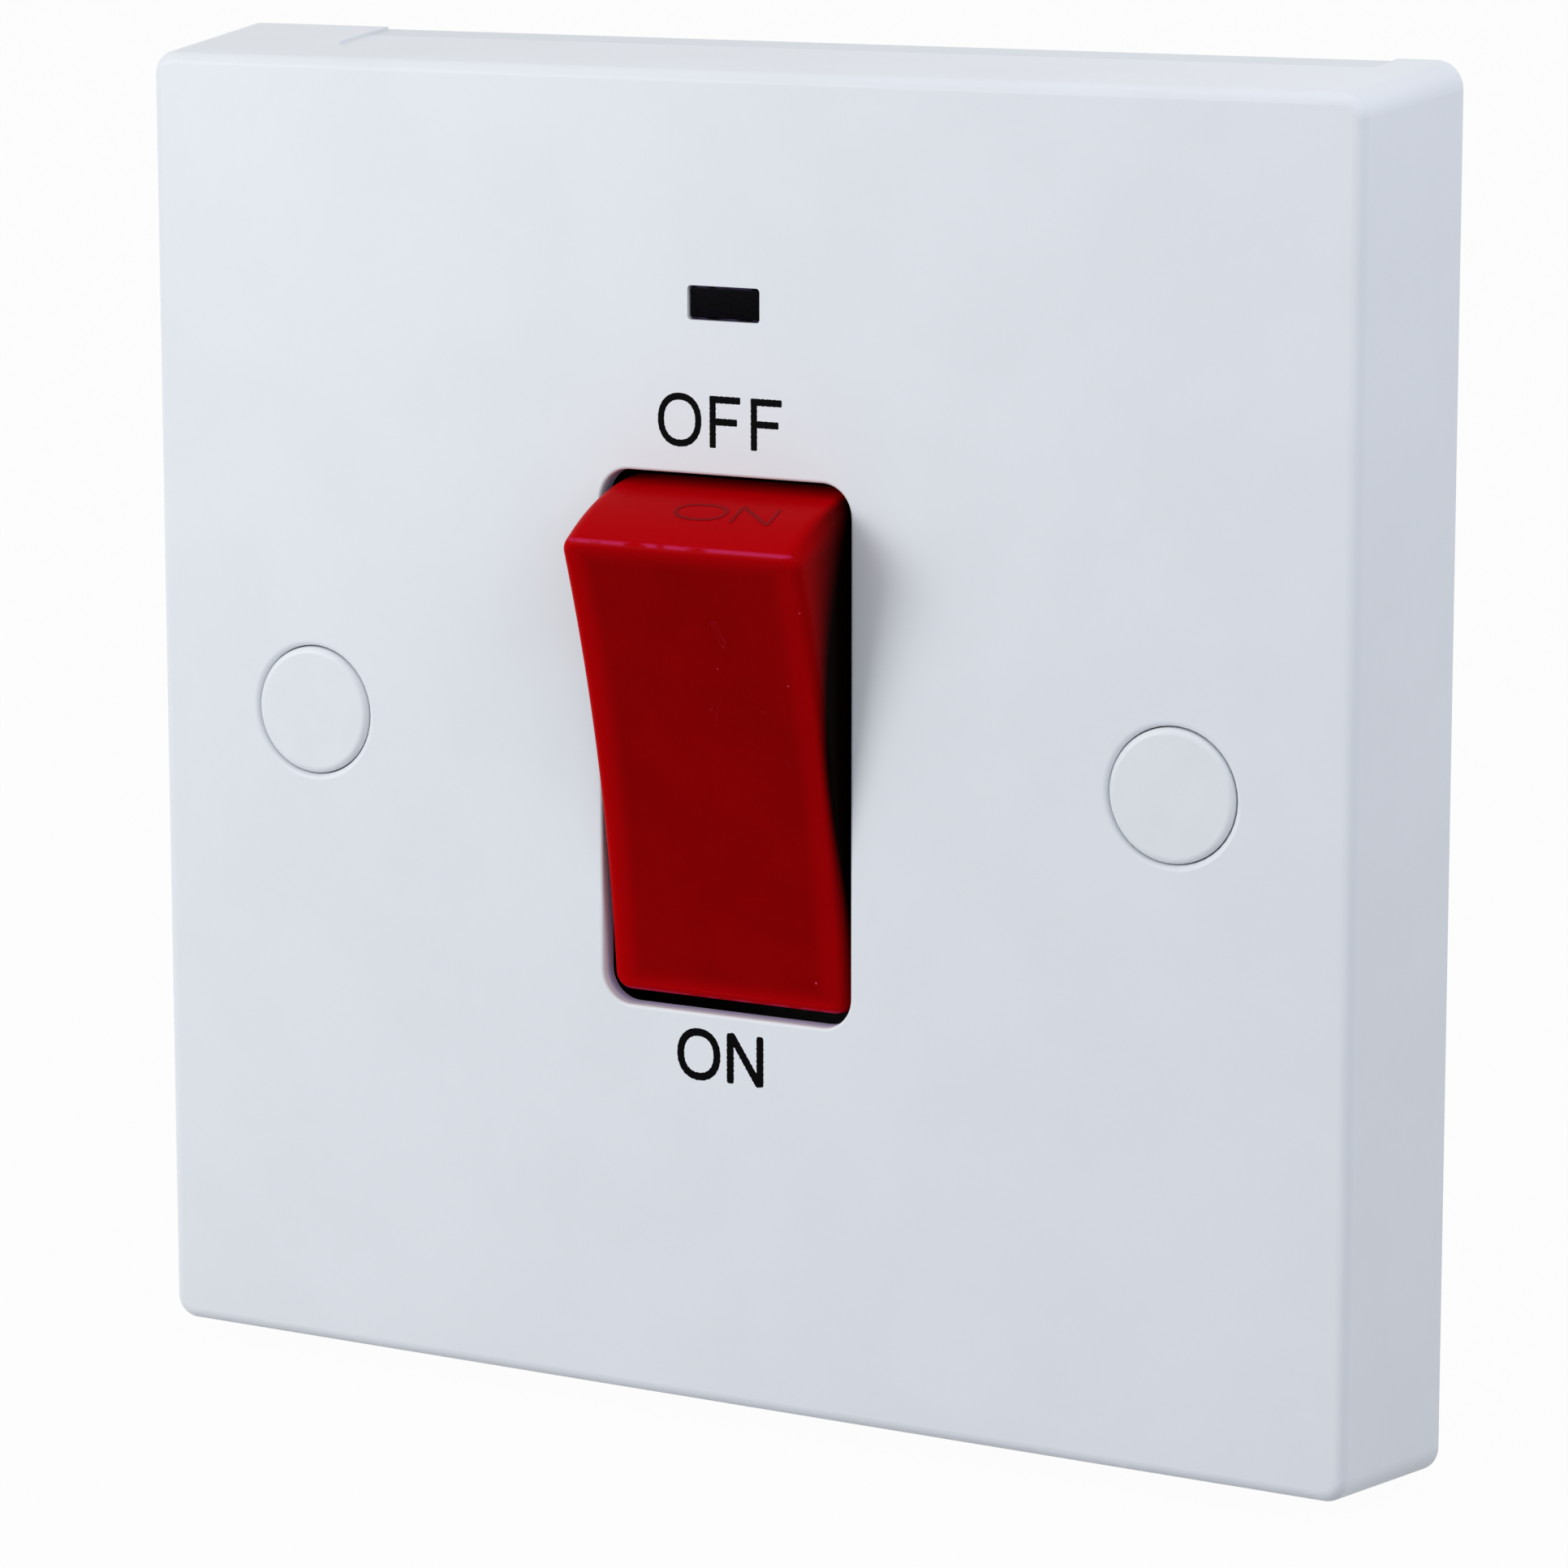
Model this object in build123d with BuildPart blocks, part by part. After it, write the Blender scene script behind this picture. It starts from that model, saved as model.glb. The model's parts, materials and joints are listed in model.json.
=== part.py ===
from build123d import *
from math import asin, cos, degrees, radians, sin, sqrt
import os

# Double pole wall switch, in millimetres.
# X runs to the right, Y into the wall and Z up. The origin is the centre of the plate's back rim,
# so the plate stands in front of the wall at negative Y and the switch base reaches behind it.
# The rocker is in its ON place: bottom end pressed in, top end proud.

# Front plate
plate_size = 86.0
plate_depth = 12.0
side_draft = 1.25
corner_r = 1.7
front_corner_r = 1.45
front_edge_r = 0.8
front_wall = 2.2
side_wall = 2.4
hollow_corner_r = 1.5

# Shallow recess in the plate's top side, open at the wall
recess_left = 31.5
recess_right = 38.8
recess_reach = 8.0
recess_depth = 0.15
recess_corner_r = 3.0

# Rocker opening in the plate
aperture_w = 17.5
aperture_h = 33.8
aperture_r = 2.0
aperture_z = 0.2
lip_r = 0.2
lip_t = 1.3
lip_relief = 0.8

# Rocker
rocker_side_gap = 0.4
rocker_end_gap = 0.55
pivot_inset = 3.66
rocker_tilt = 12.5
rocker_crown = 6.57
face_hollow = 1.04
rocker_draft = 0.1
rocker_skirt = 2.6
rocker_skin = 1.8
rocker_corner_r = 1.1
rocker_edge_r = 0.6
trunnion_gap = 0.16
trunnion_grip = 2.5
bearing_clear = 0.06

# Plungers and their springs
pole_x = 4.6
plunger_r = 1.7
plunger_clear = 0.08
plunger_reach = 10.0
plunger_len = 7.8
plunger_tip_r = 1.3
tube_wall = 1.2
tube_back = 5.5
tube_top = 2.4
spring_wire = 0.4
spring_turns = 5.5
spring_end_gap = 0.08

# Moving contacts, which rock on a knife edge behind the plungers
bar_tilt = 10.0
bar_w = 5.0
bar_half = 10.9
bar_t = 1.5
bar_clear = 0.12
knife_gap = 0.1
tip_place = 8.8
tip_r = 1.9
tip_t = 1.0
contact_gap = 0.1

# Terminals
block_x = 7.7
block_w = 9.4
block_far = 22.5
block_len = 9.0
block_depth = 11.0
block_edge = 0.5
bore_r = 2.9
bore_depth = 7.5
bore_wall = 1.5
strip_t = 1.6
strip_gap = 0.3
knife_half = 1.5
knife_rise = 2.4
ear_gap = 0.2
ear_t = 0.8
ear_half = 2.2
arm_t = 1.5
arm_below = 2.6
terminal_screw_r = 2.45
terminal_head_r = 3.6
terminal_head_t = 2.5
thread_clear = 0.05

# Switch base
base_w = 34.0
base_wall = 2.0
base_corner_r = 1.5
base_edge = 0.8
rear_wall = 3.0
seat_gap = 0.1
partition_t = 1.8
partition_front = 0.5
stop_gap = 0.12
stop_t = 2.0
stop_inner = 13.0
bearing_w_gap = 0.55
bearing_half = 4.0
bearing_back = 4.5
cable_hole_r = 3.6
screw_hole_gap = 0.5

# Screws that hold the base to the plate
post_side = 3.4
post_z = 15.0
post_r = 3.2
post_len = 4.8
lug_t = 2.5
base_screw_r = 1.4
base_screw_len = 6.6
base_head_r = 2.7
base_head_t = 1.6

# Fixing screws and their caps
fixing_pitch = 60.3
cap_r = 4.1
cap_gap = 0.08
cap_t = 1.1
cap_proud = 0.12
cap_edge_r = 0.4
cap_rim_r = 0.35
spigot_len = 2.4
spigot_wall = 0.8
spigot_gap = 0.2
boss_r = 5.8
web_t = 1.6
web_drop = 1.2
counterbore_r = 3.7
screw_seat = 7.0
fixing_head_r = 3.3
fixing_r = 1.75
fixing_neck_r = 1.6
fixing_neck_past = 0.5
fixing_len = 25.0
fixing_clear = 0.25
csk_gap = 0.08

# Screwdriver slots
slot_w = 1.0
slot_depth = 1.1

# Neon indicator
neon_z = 27.65
lens_w = 4.9
lens_h = 2.0
lens_corner_r = 0.25
lens_gap = 0.06
lens_inset = 0.2
lens_edge_r = 0.15
lens_flange = 1.1
lens_flange_t = 0.8
lamp_r = 2.0
lamp_len = 10.8
lamp_end_r = 1.2
lamp_gap = 0.3
holder_w = 17.0
holder_margin = 3.7
holder_back = 2.1
lead_r = 0.45
lead_x = 11.0
lead_drop = 4.2
lead_bend = 1.5
resistor_r = 1.1
resistor_cap_r = 1.3
resistor_len = 6.0
resistor_cap = 1.3
resistor_lead = 3.0

# Earth terminal on the base's tongue
earth_w = 8.0
earth_len = 8.0
earth_depth = 8.0
earth_gap = 1.1
earth_bore_r = 2.0
earth_bore_depth = 6.5
earth_bore_wall = 1.3
earth_screw_r = 1.95
earth_head_r = 3.1
earth_head_t = 2.0
tongue_t = 2.0
tongue_front = -0.5
tongue_side = 1.5
tongue_rise = 4.0

# Places along Y that several pieces share
front_y = -plate_depth
inner_y = front_y + front_wall
pivot_y = front_y + pivot_inset
saddle_y = pivot_y + plunger_reach + bar_clear + bar_t + knife_gap
block_front_y = saddle_y + bar_half * sin(radians(bar_tilt)) + strip_gap
block_back_y = block_front_y + block_depth
bore_y = block_front_y + bore_wall + bore_r
base_inner_y = block_back_y + seat_gap
base_back_y = base_inner_y + rear_wall
post_end_y = inner_y + post_len
lug_back_y = post_end_y + lug_t
lamp_y = inner_y + lens_flange_t + lamp_gap + lamp_r

# Posts stand clear of the base's sides
post_x = base_w / 2 + post_side

# Heights measured from the rocker's axis
base_half_h = block_far + seat_gap + base_wall
base_inner_h = base_half_h - base_wall
block_mid = block_far - block_len / 2

# Rocker sizes that follow from its opening
rocker_w = aperture_w - 2 * rocker_side_gap
rocker_reach = aperture_h / 2 - rocker_end_gap
trunnion_r = pivot_inset - front_wall - trunnion_gap
bearing_x = rocker_w / 2 + bearing_w_gap
skirt_u = sqrt(rocker_reach**2 - rocker_skirt**2)
cavity_top = rocker_crown - face_hollow - rocker_skin
tube_r = plunger_r + plunger_clear + tube_wall
stop_y = (
    pivot_y
    + rocker_skirt * cos(radians(rocker_tilt))
    + skirt_u * sin(radians(rocker_tilt))
    + stop_gap
)

sides = (("left", -1), ("right", 1))


def across(y):
    """Plane parallel to the wall at depth y, facing the room: local x is X and local y is Z."""
    return Plane.XZ.offset(-y)


def rearward(x, y, z):
    """Plane at a point, parallel to the wall and facing it."""
    return Plane(origin=(x, y, z), x_dir=(1, 0, 0), z_dir=(0, 1, 0))


def up_of(tilt):
    """A body's own upward direction when its top leans out of the wall by tilt degrees."""
    return Vector(0, -sin(radians(tilt)), cos(radians(tilt)))


def front_of(tilt):
    """A body's own forward direction when its top leans out of the wall by tilt degrees."""
    return Vector(0, -cos(radians(tilt)), -sin(radians(tilt)))


def side_plane(origin, tilt):
    """Plane seen from the right of a tilted body: local x is its up and local y its front."""
    return Plane(origin=origin, x_dir=up_of(tilt), z_dir=(1, 0, 0))


def face_plane(origin, tilt):
    """Plane facing out of a tilted body's front: local x is X and local y its up."""
    return Plane(origin=origin, x_dir=(1, 0, 0), z_dir=front_of(tilt))


def end_plane(origin, tilt):
    """Plane across a tilted body's height: local x is X and local y its front."""
    return Plane(origin=origin, x_dir=(1, 0, 0), z_dir=-up_of(tilt))


def keep(builder, name):
    """Labels a finished piece and writes it to its own file."""
    builder.part.label = name
    export_step(builder.part, f"parts/{name}.step")


def slotted_screws(name, places, head_r, head_t, shank_r, shank_len):
    """Cheese-head screws whose heads sit on the given planes, each facing out of its head."""
    with BuildPart() as screws:
        for place in places:
            with BuildSketch(place):
                Circle(head_r)
            extrude(amount=head_t)
        top_rims = screws.edges().group_by(Axis(places[0].origin, places[0].z_dir))[-1]
        fillet(top_rims, head_t / 5)
        for place in places:
            with BuildSketch(place):
                Circle(shank_r)
            extrude(amount=-shank_len)
            with BuildSketch(place.offset(head_t)):
                Rectangle(3 * head_r, slot_w)
            extrude(amount=-slot_depth, mode=Mode.SUBTRACT)
    keep(screws, name)


os.makedirs("parts", exist_ok=True)

# Faceplate: drafted shell with rocker and neon openings, fixing bosses and posts for the base
front_size = plate_size - 2 * side_draft
hollow_size = front_size - 2 * side_wall
hollow_x = hollow_size / 2
boss_x = fixing_pitch / 2
cap_ledge_y = front_y + cap_t

with BuildPart() as faceplate:
    with BuildSketch(across(0)):
        RectangleRounded(plate_size, plate_size, corner_r)
    with BuildSketch(across(front_y)):
        RectangleRounded(front_size, front_size, front_corner_r)
    loft()
    fillet(faceplate.faces().sort_by(Axis.Y)[0].edges(), front_edge_r)

    # Hollow back
    with BuildSketch(across(0)):
        RectangleRounded(hollow_size, hollow_size, hollow_corner_r)
    extrude(amount=-inner_y, mode=Mode.SUBTRACT)

    # Rocker opening with its rounded lip, relieved behind
    with BuildSketch(across(inner_y)):
        with Locations((0, aperture_z)):
            RectangleRounded(aperture_w, aperture_h, aperture_r)
    extrude(amount=front_wall, mode=Mode.SUBTRACT)
    fillet(faceplate.faces().sort_by(Axis.Y)[0].inner_wires()[0].edges(), lip_r)
    with BuildSketch(across(inner_y)):
        with Locations((0, aperture_z)):
            RectangleRounded(
                aperture_w + 2 * lip_relief, aperture_h + 2 * lip_relief, aperture_r + lip_relief
            )
    extrude(amount=front_wall - lip_t, mode=Mode.SUBTRACT)

    # Bosses for the fixing screws, webs to the side walls and posts for the base
    with BuildSketch(across(inner_y)):
        with GridLocations(fixing_pitch, 0, 2, 1):
            Circle(boss_r)
    extrude(amount=inner_y)
    web_x = (hollow_x + boss_x + boss_r) / 2
    with BuildSketch(across(inner_y)):
        with GridLocations(2 * web_x, 0, 2, 1):
            Rectangle(hollow_x - boss_x - boss_r + 2, web_t)
    extrude(amount=inner_y + web_drop)
    with BuildSketch(across(inner_y)):
        with Locations((0, aperture_z)):
            with GridLocations(2 * post_x, 2 * post_z, 2, 2):
                Circle(post_r)
    extrude(amount=-post_len)
    with BuildSketch(across(post_end_y)):
        with Locations((0, aperture_z)):
            with GridLocations(2 * post_x, 2 * post_z, 2, 2):
                Circle(base_screw_r + thread_clear)
    extrude(amount=post_len, mode=Mode.SUBTRACT)

    # Stepped holes for the caps and fixing screws
    with BuildSketch(across(front_y)):
        with GridLocations(fixing_pitch, 0, 2, 1):
            Circle(cap_r + cap_gap)
    extrude(amount=-cap_t, mode=Mode.SUBTRACT)
    cap_rims = faceplate.faces().sort_by(Axis.Y)[0].edges().filter_by(GeomType.CIRCLE)
    fillet(cap_rims.filter_by(lambda e: e.radius > cap_r), cap_rim_r)
    with BuildSketch(across(front_y)):
        with GridLocations(fixing_pitch, 0, 2, 1):
            Circle(counterbore_r)
    extrude(amount=-screw_seat, mode=Mode.SUBTRACT)
    with BuildSketch(across(front_y)):
        with GridLocations(fixing_pitch, 0, 2, 1):
            Circle(fixing_r + fixing_clear)
    extrude(amount=-plate_depth, mode=Mode.SUBTRACT)
    for _, sign in sides:
        with BuildSketch(rearward(sign * boss_x, front_y + screw_seat, 0)):
            Circle(fixing_head_r + csk_gap)
        extrude(amount=fixing_head_r - fixing_r - fixing_clear, taper=45, mode=Mode.SUBTRACT)

    # Neon window
    with BuildSketch(across(inner_y)):
        with Locations((0, neon_z)):
            RectangleRounded(lens_w + 2 * lens_gap, lens_h + 2 * lens_gap, lens_corner_r)
    extrude(amount=front_wall, mode=Mode.SUBTRACT)

    # Shallow recess in the top side
    top_side = Plane(
        origin=(0, 0, plate_size / 2), x_dir=(1, 0, 0), z_dir=(0, -side_draft, plate_depth)
    )
    recess_w = recess_left + recess_right
    with BuildSketch(top_side.offset(-recess_depth)):
        with Locations(((recess_right - recess_left) / 2, 0)):
            RectangleRounded(recess_w, 2 * recess_reach, recess_corner_r)
    extrude(amount=2 * recess_depth, mode=Mode.SUBTRACT)
keep(faceplate, "faceplate")

# Rocker: drafted, hollow-faced shell with arc ends about its axis, trunnions and plunger tubes
pivot = (0, pivot_y, aperture_z)
crown_angle = degrees(asin(rocker_crown / rocker_reach))
skirt_angle = degrees(asin(rocker_skirt / rocker_reach))

with BuildPart() as rocker:
    with BuildSketch(side_plane(pivot, rocker_tilt)):
        with BuildLine():
            top_end = CenterArc((0, 0), rocker_reach, -skirt_angle, skirt_angle + crown_angle)
            low_end = CenterArc((0, 0), rocker_reach, 180 - crown_angle, skirt_angle + crown_angle)
            ThreePointArc(top_end @ 1, (0, rocker_crown - face_hollow), low_end @ 0)
            Line(low_end @ 1, top_end @ 0)
        make_face()
    extrude(amount=rocker_w / 2, both=True)
    with BuildSketch(end_plane(pivot, rocker_tilt)):
        with BuildLine():
            Polyline(
                (-rocker_w / 2, -rocker_skirt - 1),
                (rocker_w / 2, -rocker_skirt - 1),
                (rocker_w / 2, 0),
                (rocker_w / 2 - 2 * rocker_draft, 2 * rocker_crown),
                (-rocker_w / 2 + 2 * rocker_draft, 2 * rocker_crown),
                (-rocker_w / 2, 0),
                close=True,
            )
        make_face()
    extrude(amount=rocker_reach + 1, both=True, mode=Mode.INTERSECT)
    round_ends = rocker.faces().filter_by(lambda f: f.geom_type == GeomType.CYLINDER)
    round_ends = round_ends.filter_by(lambda f: abs(f.radius - rocker_reach) < 0.01)
    fillet(round_ends.edges().filter_by(Axis.X, reverse=True), rocker_corner_r)
    front_rim = rocker.faces().sort_by(Axis(pivot, front_of(rocker_tilt)))[-1]
    fillet(front_rim.edges(), rocker_edge_r)

    # Hollow inside, with a tube for each plunger
    with BuildSketch(face_plane(pivot, rocker_tilt).offset(-rocker_skirt)):
        Rectangle(rocker_w - 2 * rocker_skin, 2 * (skirt_u - rocker_skin))
    extrude(amount=rocker_skirt + cavity_top, mode=Mode.SUBTRACT)
    with BuildSketch(face_plane(pivot, rocker_tilt).offset(-tube_back)):
        with GridLocations(2 * pole_x, 0, 2, 1):
            Circle(tube_r)
    extrude(amount=tube_back + cavity_top)
    with BuildSketch(face_plane(pivot, rocker_tilt).offset(-tube_back)):
        with GridLocations(2 * pole_x, 0, 2, 1):
            Circle(plunger_r + plunger_clear)
    extrude(amount=tube_back + tube_top, mode=Mode.SUBTRACT)

    # Trunnions
    trunnion_start = rocker_w / 2 - rocker_skin / 2
    trunnion_end = bearing_x + trunnion_grip
    for _, sign in sides:
        with BuildSketch(side_plane(pivot, rocker_tilt).offset(sign * trunnion_start)):
            Circle(trunnion_r)
        extrude(amount=sign * (trunnion_end - trunnion_start))
keep(rocker, "rocker")

# Plungers and springs, which slide in the rocker's tubes
for side, sign in sides:
    pole = (sign * pole_x, pivot_y, aperture_z)
    plunger_back = plunger_reach - plunger_len
    with BuildPart() as plunger:
        with BuildSketch(face_plane(pole, rocker_tilt).offset(-plunger_reach)):
            Circle(plunger_r)
        extrude(amount=plunger_len)
        nose = plunger.faces().sort_by(Axis(pole, front_of(rocker_tilt)))[0]
        fillet(nose.edges(), plunger_tip_r)
    keep(plunger, f"plunger_{side}")

    spring_start = face_plane(pole, rocker_tilt).offset(
        -plunger_back + spring_wire / 2 + spring_end_gap
    )
    spring_len = plunger_back + tube_top - spring_wire - 2 * spring_end_gap
    with BuildPart() as spring:
        with BuildLine():
            coil = Helix(
                spring_len / spring_turns,
                spring_len,
                plunger_r - spring_wire / 2,
                center=spring_start.origin,
                direction=front_of(rocker_tilt),
            )
        with BuildSketch(Plane(origin=coil @ 0, z_dir=coil % 0)):
            Circle(spring_wire / 2)
        sweep(path=coil, is_frenet=True)
    keep(spring, f"plunger_spring_{side}")

# Moving contacts: each bar rocks on its knife edge, upper end pressed back while ON
for side, sign in sides:
    saddle = (sign * pole_x, saddle_y, aperture_z)
    with BuildPart() as moving_contact:
        with BuildSketch(face_plane(saddle, -bar_tilt).offset(knife_gap)):
            RectangleRounded(bar_w, 2 * bar_half, bar_w / 5)
        extrude(amount=bar_t)
    keep(moving_contact, f"moving_contact_{side}")

    with BuildPart() as moving_tip:
        with BuildSketch(face_plane(saddle, -bar_tilt).offset(knife_gap)):
            with Locations((0, tip_place)):
                Circle(tip_r)
        extrude(amount=-tip_t)
        fillet(moving_tip.faces().sort_by(Axis.Y)[-1].edges(), tip_t / 4)
    keep(moving_tip, f"moving_tip_{side}")

    with BuildPart() as fixed_tip:
        with BuildSketch(face_plane(saddle, -bar_tilt).offset(knife_gap - tip_t - contact_gap)):
            with Locations((0, tip_place)):
                Circle(tip_r)
        extrude(amount=-tip_t)
        fillet(fixed_tip.faces().sort_by(Axis.Y)[0].edges(), tip_t / 4)
    keep(fixed_tip, f"fixed_tip_{side}")


# Terminals: the feed carries the knife edge, the load carries the fixed contact
terminal_shank = block_back_y - bore_y - bore_r - seat_gap
terminal_head_y = block_back_y + 2 * seat_gap
strip_w = bar_w + 2 * ear_gap + 2 * ear_t
strip_low = block_far - block_len + strip_t
arm_front = knife_gap - 2 * tip_t - contact_gap
arm_low = tip_place - arm_below
arm_top = block_far - block_len + arm_t

for side, sign in sides:
    for role, up in (("feed", -1), ("load", 1)):
        saddle = (sign * pole_x, saddle_y, aperture_z)
        block_z = aperture_z + up * block_mid
        with BuildPart() as terminal:
            with BuildSketch(across(block_front_y)):
                with Locations((sign * block_x, block_z)):
                    Rectangle(block_w, block_len)
            extrude(amount=-block_depth)
            chamfer(terminal.edges().group_by(Axis.Y)[-1], block_edge)
            if role == "feed":
                # Strip with the knife edge and an ear on each side of the bar
                with BuildSketch(across(block_front_y)):
                    with Locations((sign * pole_x, aperture_z + (knife_rise - strip_low) / 2)):
                        Rectangle(strip_w, strip_low + knife_rise)
                extrude(amount=-strip_t)
                with BuildSketch(side_plane(saddle, 0).offset(-bar_w / 2)):
                    with BuildLine():
                        Polyline(
                            (0, 0),
                            (knife_half, saddle_y - block_front_y),
                            (-knife_half, saddle_y - block_front_y),
                            close=True,
                        )
                    make_face()
                extrude(amount=bar_w)
                with BuildSketch(across(block_front_y)):
                    with Locations((sign * pole_x, aperture_z)):
                        with GridLocations(strip_w - ear_t, 0, 2, 1):
                            Rectangle(ear_t, 2 * ear_half)
                extrude(amount=block_front_y - saddle_y + bar_t + knife_gap)
            else:
                # Arm behind the fixed contact, square to it
                with BuildSketch(face_plane(saddle, -bar_tilt).offset(arm_front)):
                    with Locations((0, (arm_low + arm_top) / 2)):
                        Rectangle(bar_w, arm_top - arm_low)
                extrude(amount=-arm_t)
            # Blind cable bore from the outer end, and the threaded hole of the clamping screw
            mouth = (sign * block_x, bore_y, aperture_z + up * block_far)
            with BuildSketch(Plane(origin=mouth, x_dir=(1, 0, 0), z_dir=(0, 0, up))):
                Circle(bore_r)
            extrude(amount=-bore_depth, mode=Mode.SUBTRACT)
            with BuildSketch(across(bore_y)):
                with Locations((sign * block_x, block_z)):
                    Circle(terminal_screw_r + thread_clear)
            extrude(amount=bore_y - block_back_y, mode=Mode.SUBTRACT)
        keep(terminal, f"{role}_terminal_{side}")

        slotted_screws(
            f"{role}_screw_{side}",
            [rearward(sign * block_x, terminal_head_y, block_z)],
            terminal_head_r,
            terminal_head_t,
            terminal_screw_r,
            terminal_shank + terminal_head_y - block_back_y,
        )

# Switch base: one moulding with bearings, stops, partition, lamp holder, screw lugs and tongue
lamp_room = lamp_r + lens_gap
holder_half = base_half_h + aperture_z
holder_top = neon_z + holder_margin
tongue_top = aperture_z - base_half_h
earth_top = tongue_top - earth_gap
tongue_low = earth_top - earth_len
tongue_w = earth_w + 2 * seat_gap + 2 * tongue_side
tongue_y = tongue_front + tongue_t

with BuildPart() as switch_base:
    with BuildSketch(across(inner_y)):
        with Locations((0, aperture_z)):
            RectangleRounded(base_w, 2 * base_half_h, base_corner_r)
    extrude(amount=inner_y - base_back_y)
    fillet(switch_base.faces().sort_by(Axis.Y)[-1].edges(), base_edge)
    with BuildSketch(across(inner_y)):
        with Locations((0, aperture_z)):
            Rectangle(base_w - 2 * base_wall, 2 * base_inner_h)
    extrude(amount=inner_y - base_inner_y, mode=Mode.SUBTRACT)

    # Partition between the poles
    with BuildSketch(across(partition_front)):
        with Locations((0, aperture_z)):
            Rectangle(partition_t, 2 * base_inner_h)
    extrude(amount=partition_front - base_inner_y)

    # Stops behind the rocker's ends
    for up in (-1, 1):
        with BuildSketch(across(stop_y)):
            with Locations((0, aperture_z + up * (stop_inner + base_inner_h) / 2)):
                Rectangle(rocker_w, base_inner_h - stop_inner)
        extrude(amount=-stop_t)
        with BuildSketch(across(stop_y)):
            with Locations((0, aperture_z + up * (base_inner_h - stop_t / 2))):
                Rectangle(partition_t, stop_t)
        extrude(amount=stop_y - base_inner_y)

    # Bearings with open slots for the trunnions
    bearing_out = base_w / 2 - base_wall
    for _, sign in sides:
        with BuildSketch(across(inner_y)):
            with Locations((sign * (bearing_x + bearing_out) / 2, aperture_z)):
                Rectangle(bearing_out - bearing_x, 2 * bearing_half)
        extrude(amount=inner_y - pivot_y - bearing_back)
        with BuildSketch(side_plane(pivot, 0).offset(sign * bearing_x)):
            Circle(trunnion_r + bearing_clear)
            with Locations((0, pivot_inset / 2)):
                Rectangle(2 * (trunnion_r + bearing_clear), pivot_inset)
        extrude(amount=sign * (trunnion_grip + seat_gap), mode=Mode.SUBTRACT)

    # Lamp holder above the base
    with BuildSketch(across(lamp_y)):
        with Locations((0, (holder_half + holder_top) / 2)):
            Rectangle(holder_w, holder_top - holder_half)
    extrude(amount=-(lamp_room + holder_back))
    with BuildSketch(Plane.YZ.offset(-holder_w / 2)):
        with Locations((lamp_y, neon_z)):
            Circle(lamp_room)
    extrude(amount=holder_w, mode=Mode.SUBTRACT)

    # Lugs on the plate's posts
    lug_in = base_w / 2
    with BuildSketch(across(post_end_y)):
        with Locations((0, aperture_z)):
            with GridLocations(2 * post_x, 2 * post_z, 2, 2):
                Circle(post_r)
            with GridLocations(lug_in + post_x, 2 * post_z, 2, 2):
                Rectangle(post_x - lug_in, 2 * post_r)
    extrude(amount=-lug_t)
    with BuildSketch(across(post_end_y)):
        with Locations((0, aperture_z)):
            with GridLocations(2 * post_x, 2 * post_z, 2, 2):
                Circle(base_screw_r + fixing_clear)
    extrude(amount=-lug_t, mode=Mode.SUBTRACT)

    # Cable entries in the end walls, screwdriver holes in the rear wall, lead holes in the top wall
    with BuildSketch(Plane.XY.offset(aperture_z - base_half_h)):
        with Locations((0, bore_y)):
            with GridLocations(2 * block_x, 0, 2, 1):
                Circle(cable_hole_r)
    extrude(amount=2 * base_half_h, mode=Mode.SUBTRACT)
    with BuildSketch(across(base_inner_y)):
        with Locations((0, aperture_z)):
            with GridLocations(2 * block_x, 2 * block_mid, 2, 2):
                Circle(terminal_head_r + screw_hole_gap)
    extrude(amount=-rear_wall, mode=Mode.SUBTRACT)
    with BuildSketch(Plane.XY.offset(aperture_z + base_inner_h)):
        with Locations((0, lamp_y)):
            with GridLocations(2 * lead_x, 0, 2, 1):
                Circle(2 * lead_r)
    extrude(amount=base_wall, mode=Mode.SUBTRACT)

    # Tongue with cheeks that hold the earth terminal
    with BuildSketch(across(tongue_front)):
        with Locations((0, (tongue_top + tongue_low) / 2)):
            Rectangle(tongue_w, tongue_top - tongue_low)
    extrude(amount=-tongue_t)
    with BuildSketch(across(tongue_y)):
        with Locations((0, (tongue_top + tongue_low) / 2)):
            with GridLocations(tongue_w - tongue_side, 0, 2, 1):
                Rectangle(tongue_side, tongue_top - tongue_low)
    extrude(amount=-tongue_rise)
keep(switch_base, "switch_base")

slotted_screws(
    "base_screws",
    [
        rearward(x_sign * post_x, lug_back_y, aperture_z + z_sign * post_z)
        for _, x_sign in sides
        for _, z_sign in sides
    ],
    base_head_r,
    base_head_t,
    base_screw_r,
    base_screw_len,
)

# Fixing screws: countersunk, one behind each cap, with a plain neck through the plate
neck_len = -(front_y + screw_seat) + fixing_neck_past
with BuildPart() as fixing_screws:
    for _, sign in sides:
        head = rearward(sign * boss_x, front_y + screw_seat, 0)
        with BuildSketch(head):
            Circle(fixing_head_r)
        extrude(amount=fixing_head_r - fixing_neck_r, taper=45)
        with BuildSketch(head):
            Circle(fixing_neck_r)
        extrude(amount=neck_len)
        with BuildSketch(head.offset(neck_len)):
            Circle(fixing_r)
        extrude(amount=fixing_len - neck_len)
        with BuildSketch(head):
            Rectangle(3 * fixing_head_r, slot_w)
        extrude(amount=slot_depth, mode=Mode.SUBTRACT)
keep(fixing_screws, "fixing_screws")

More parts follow.
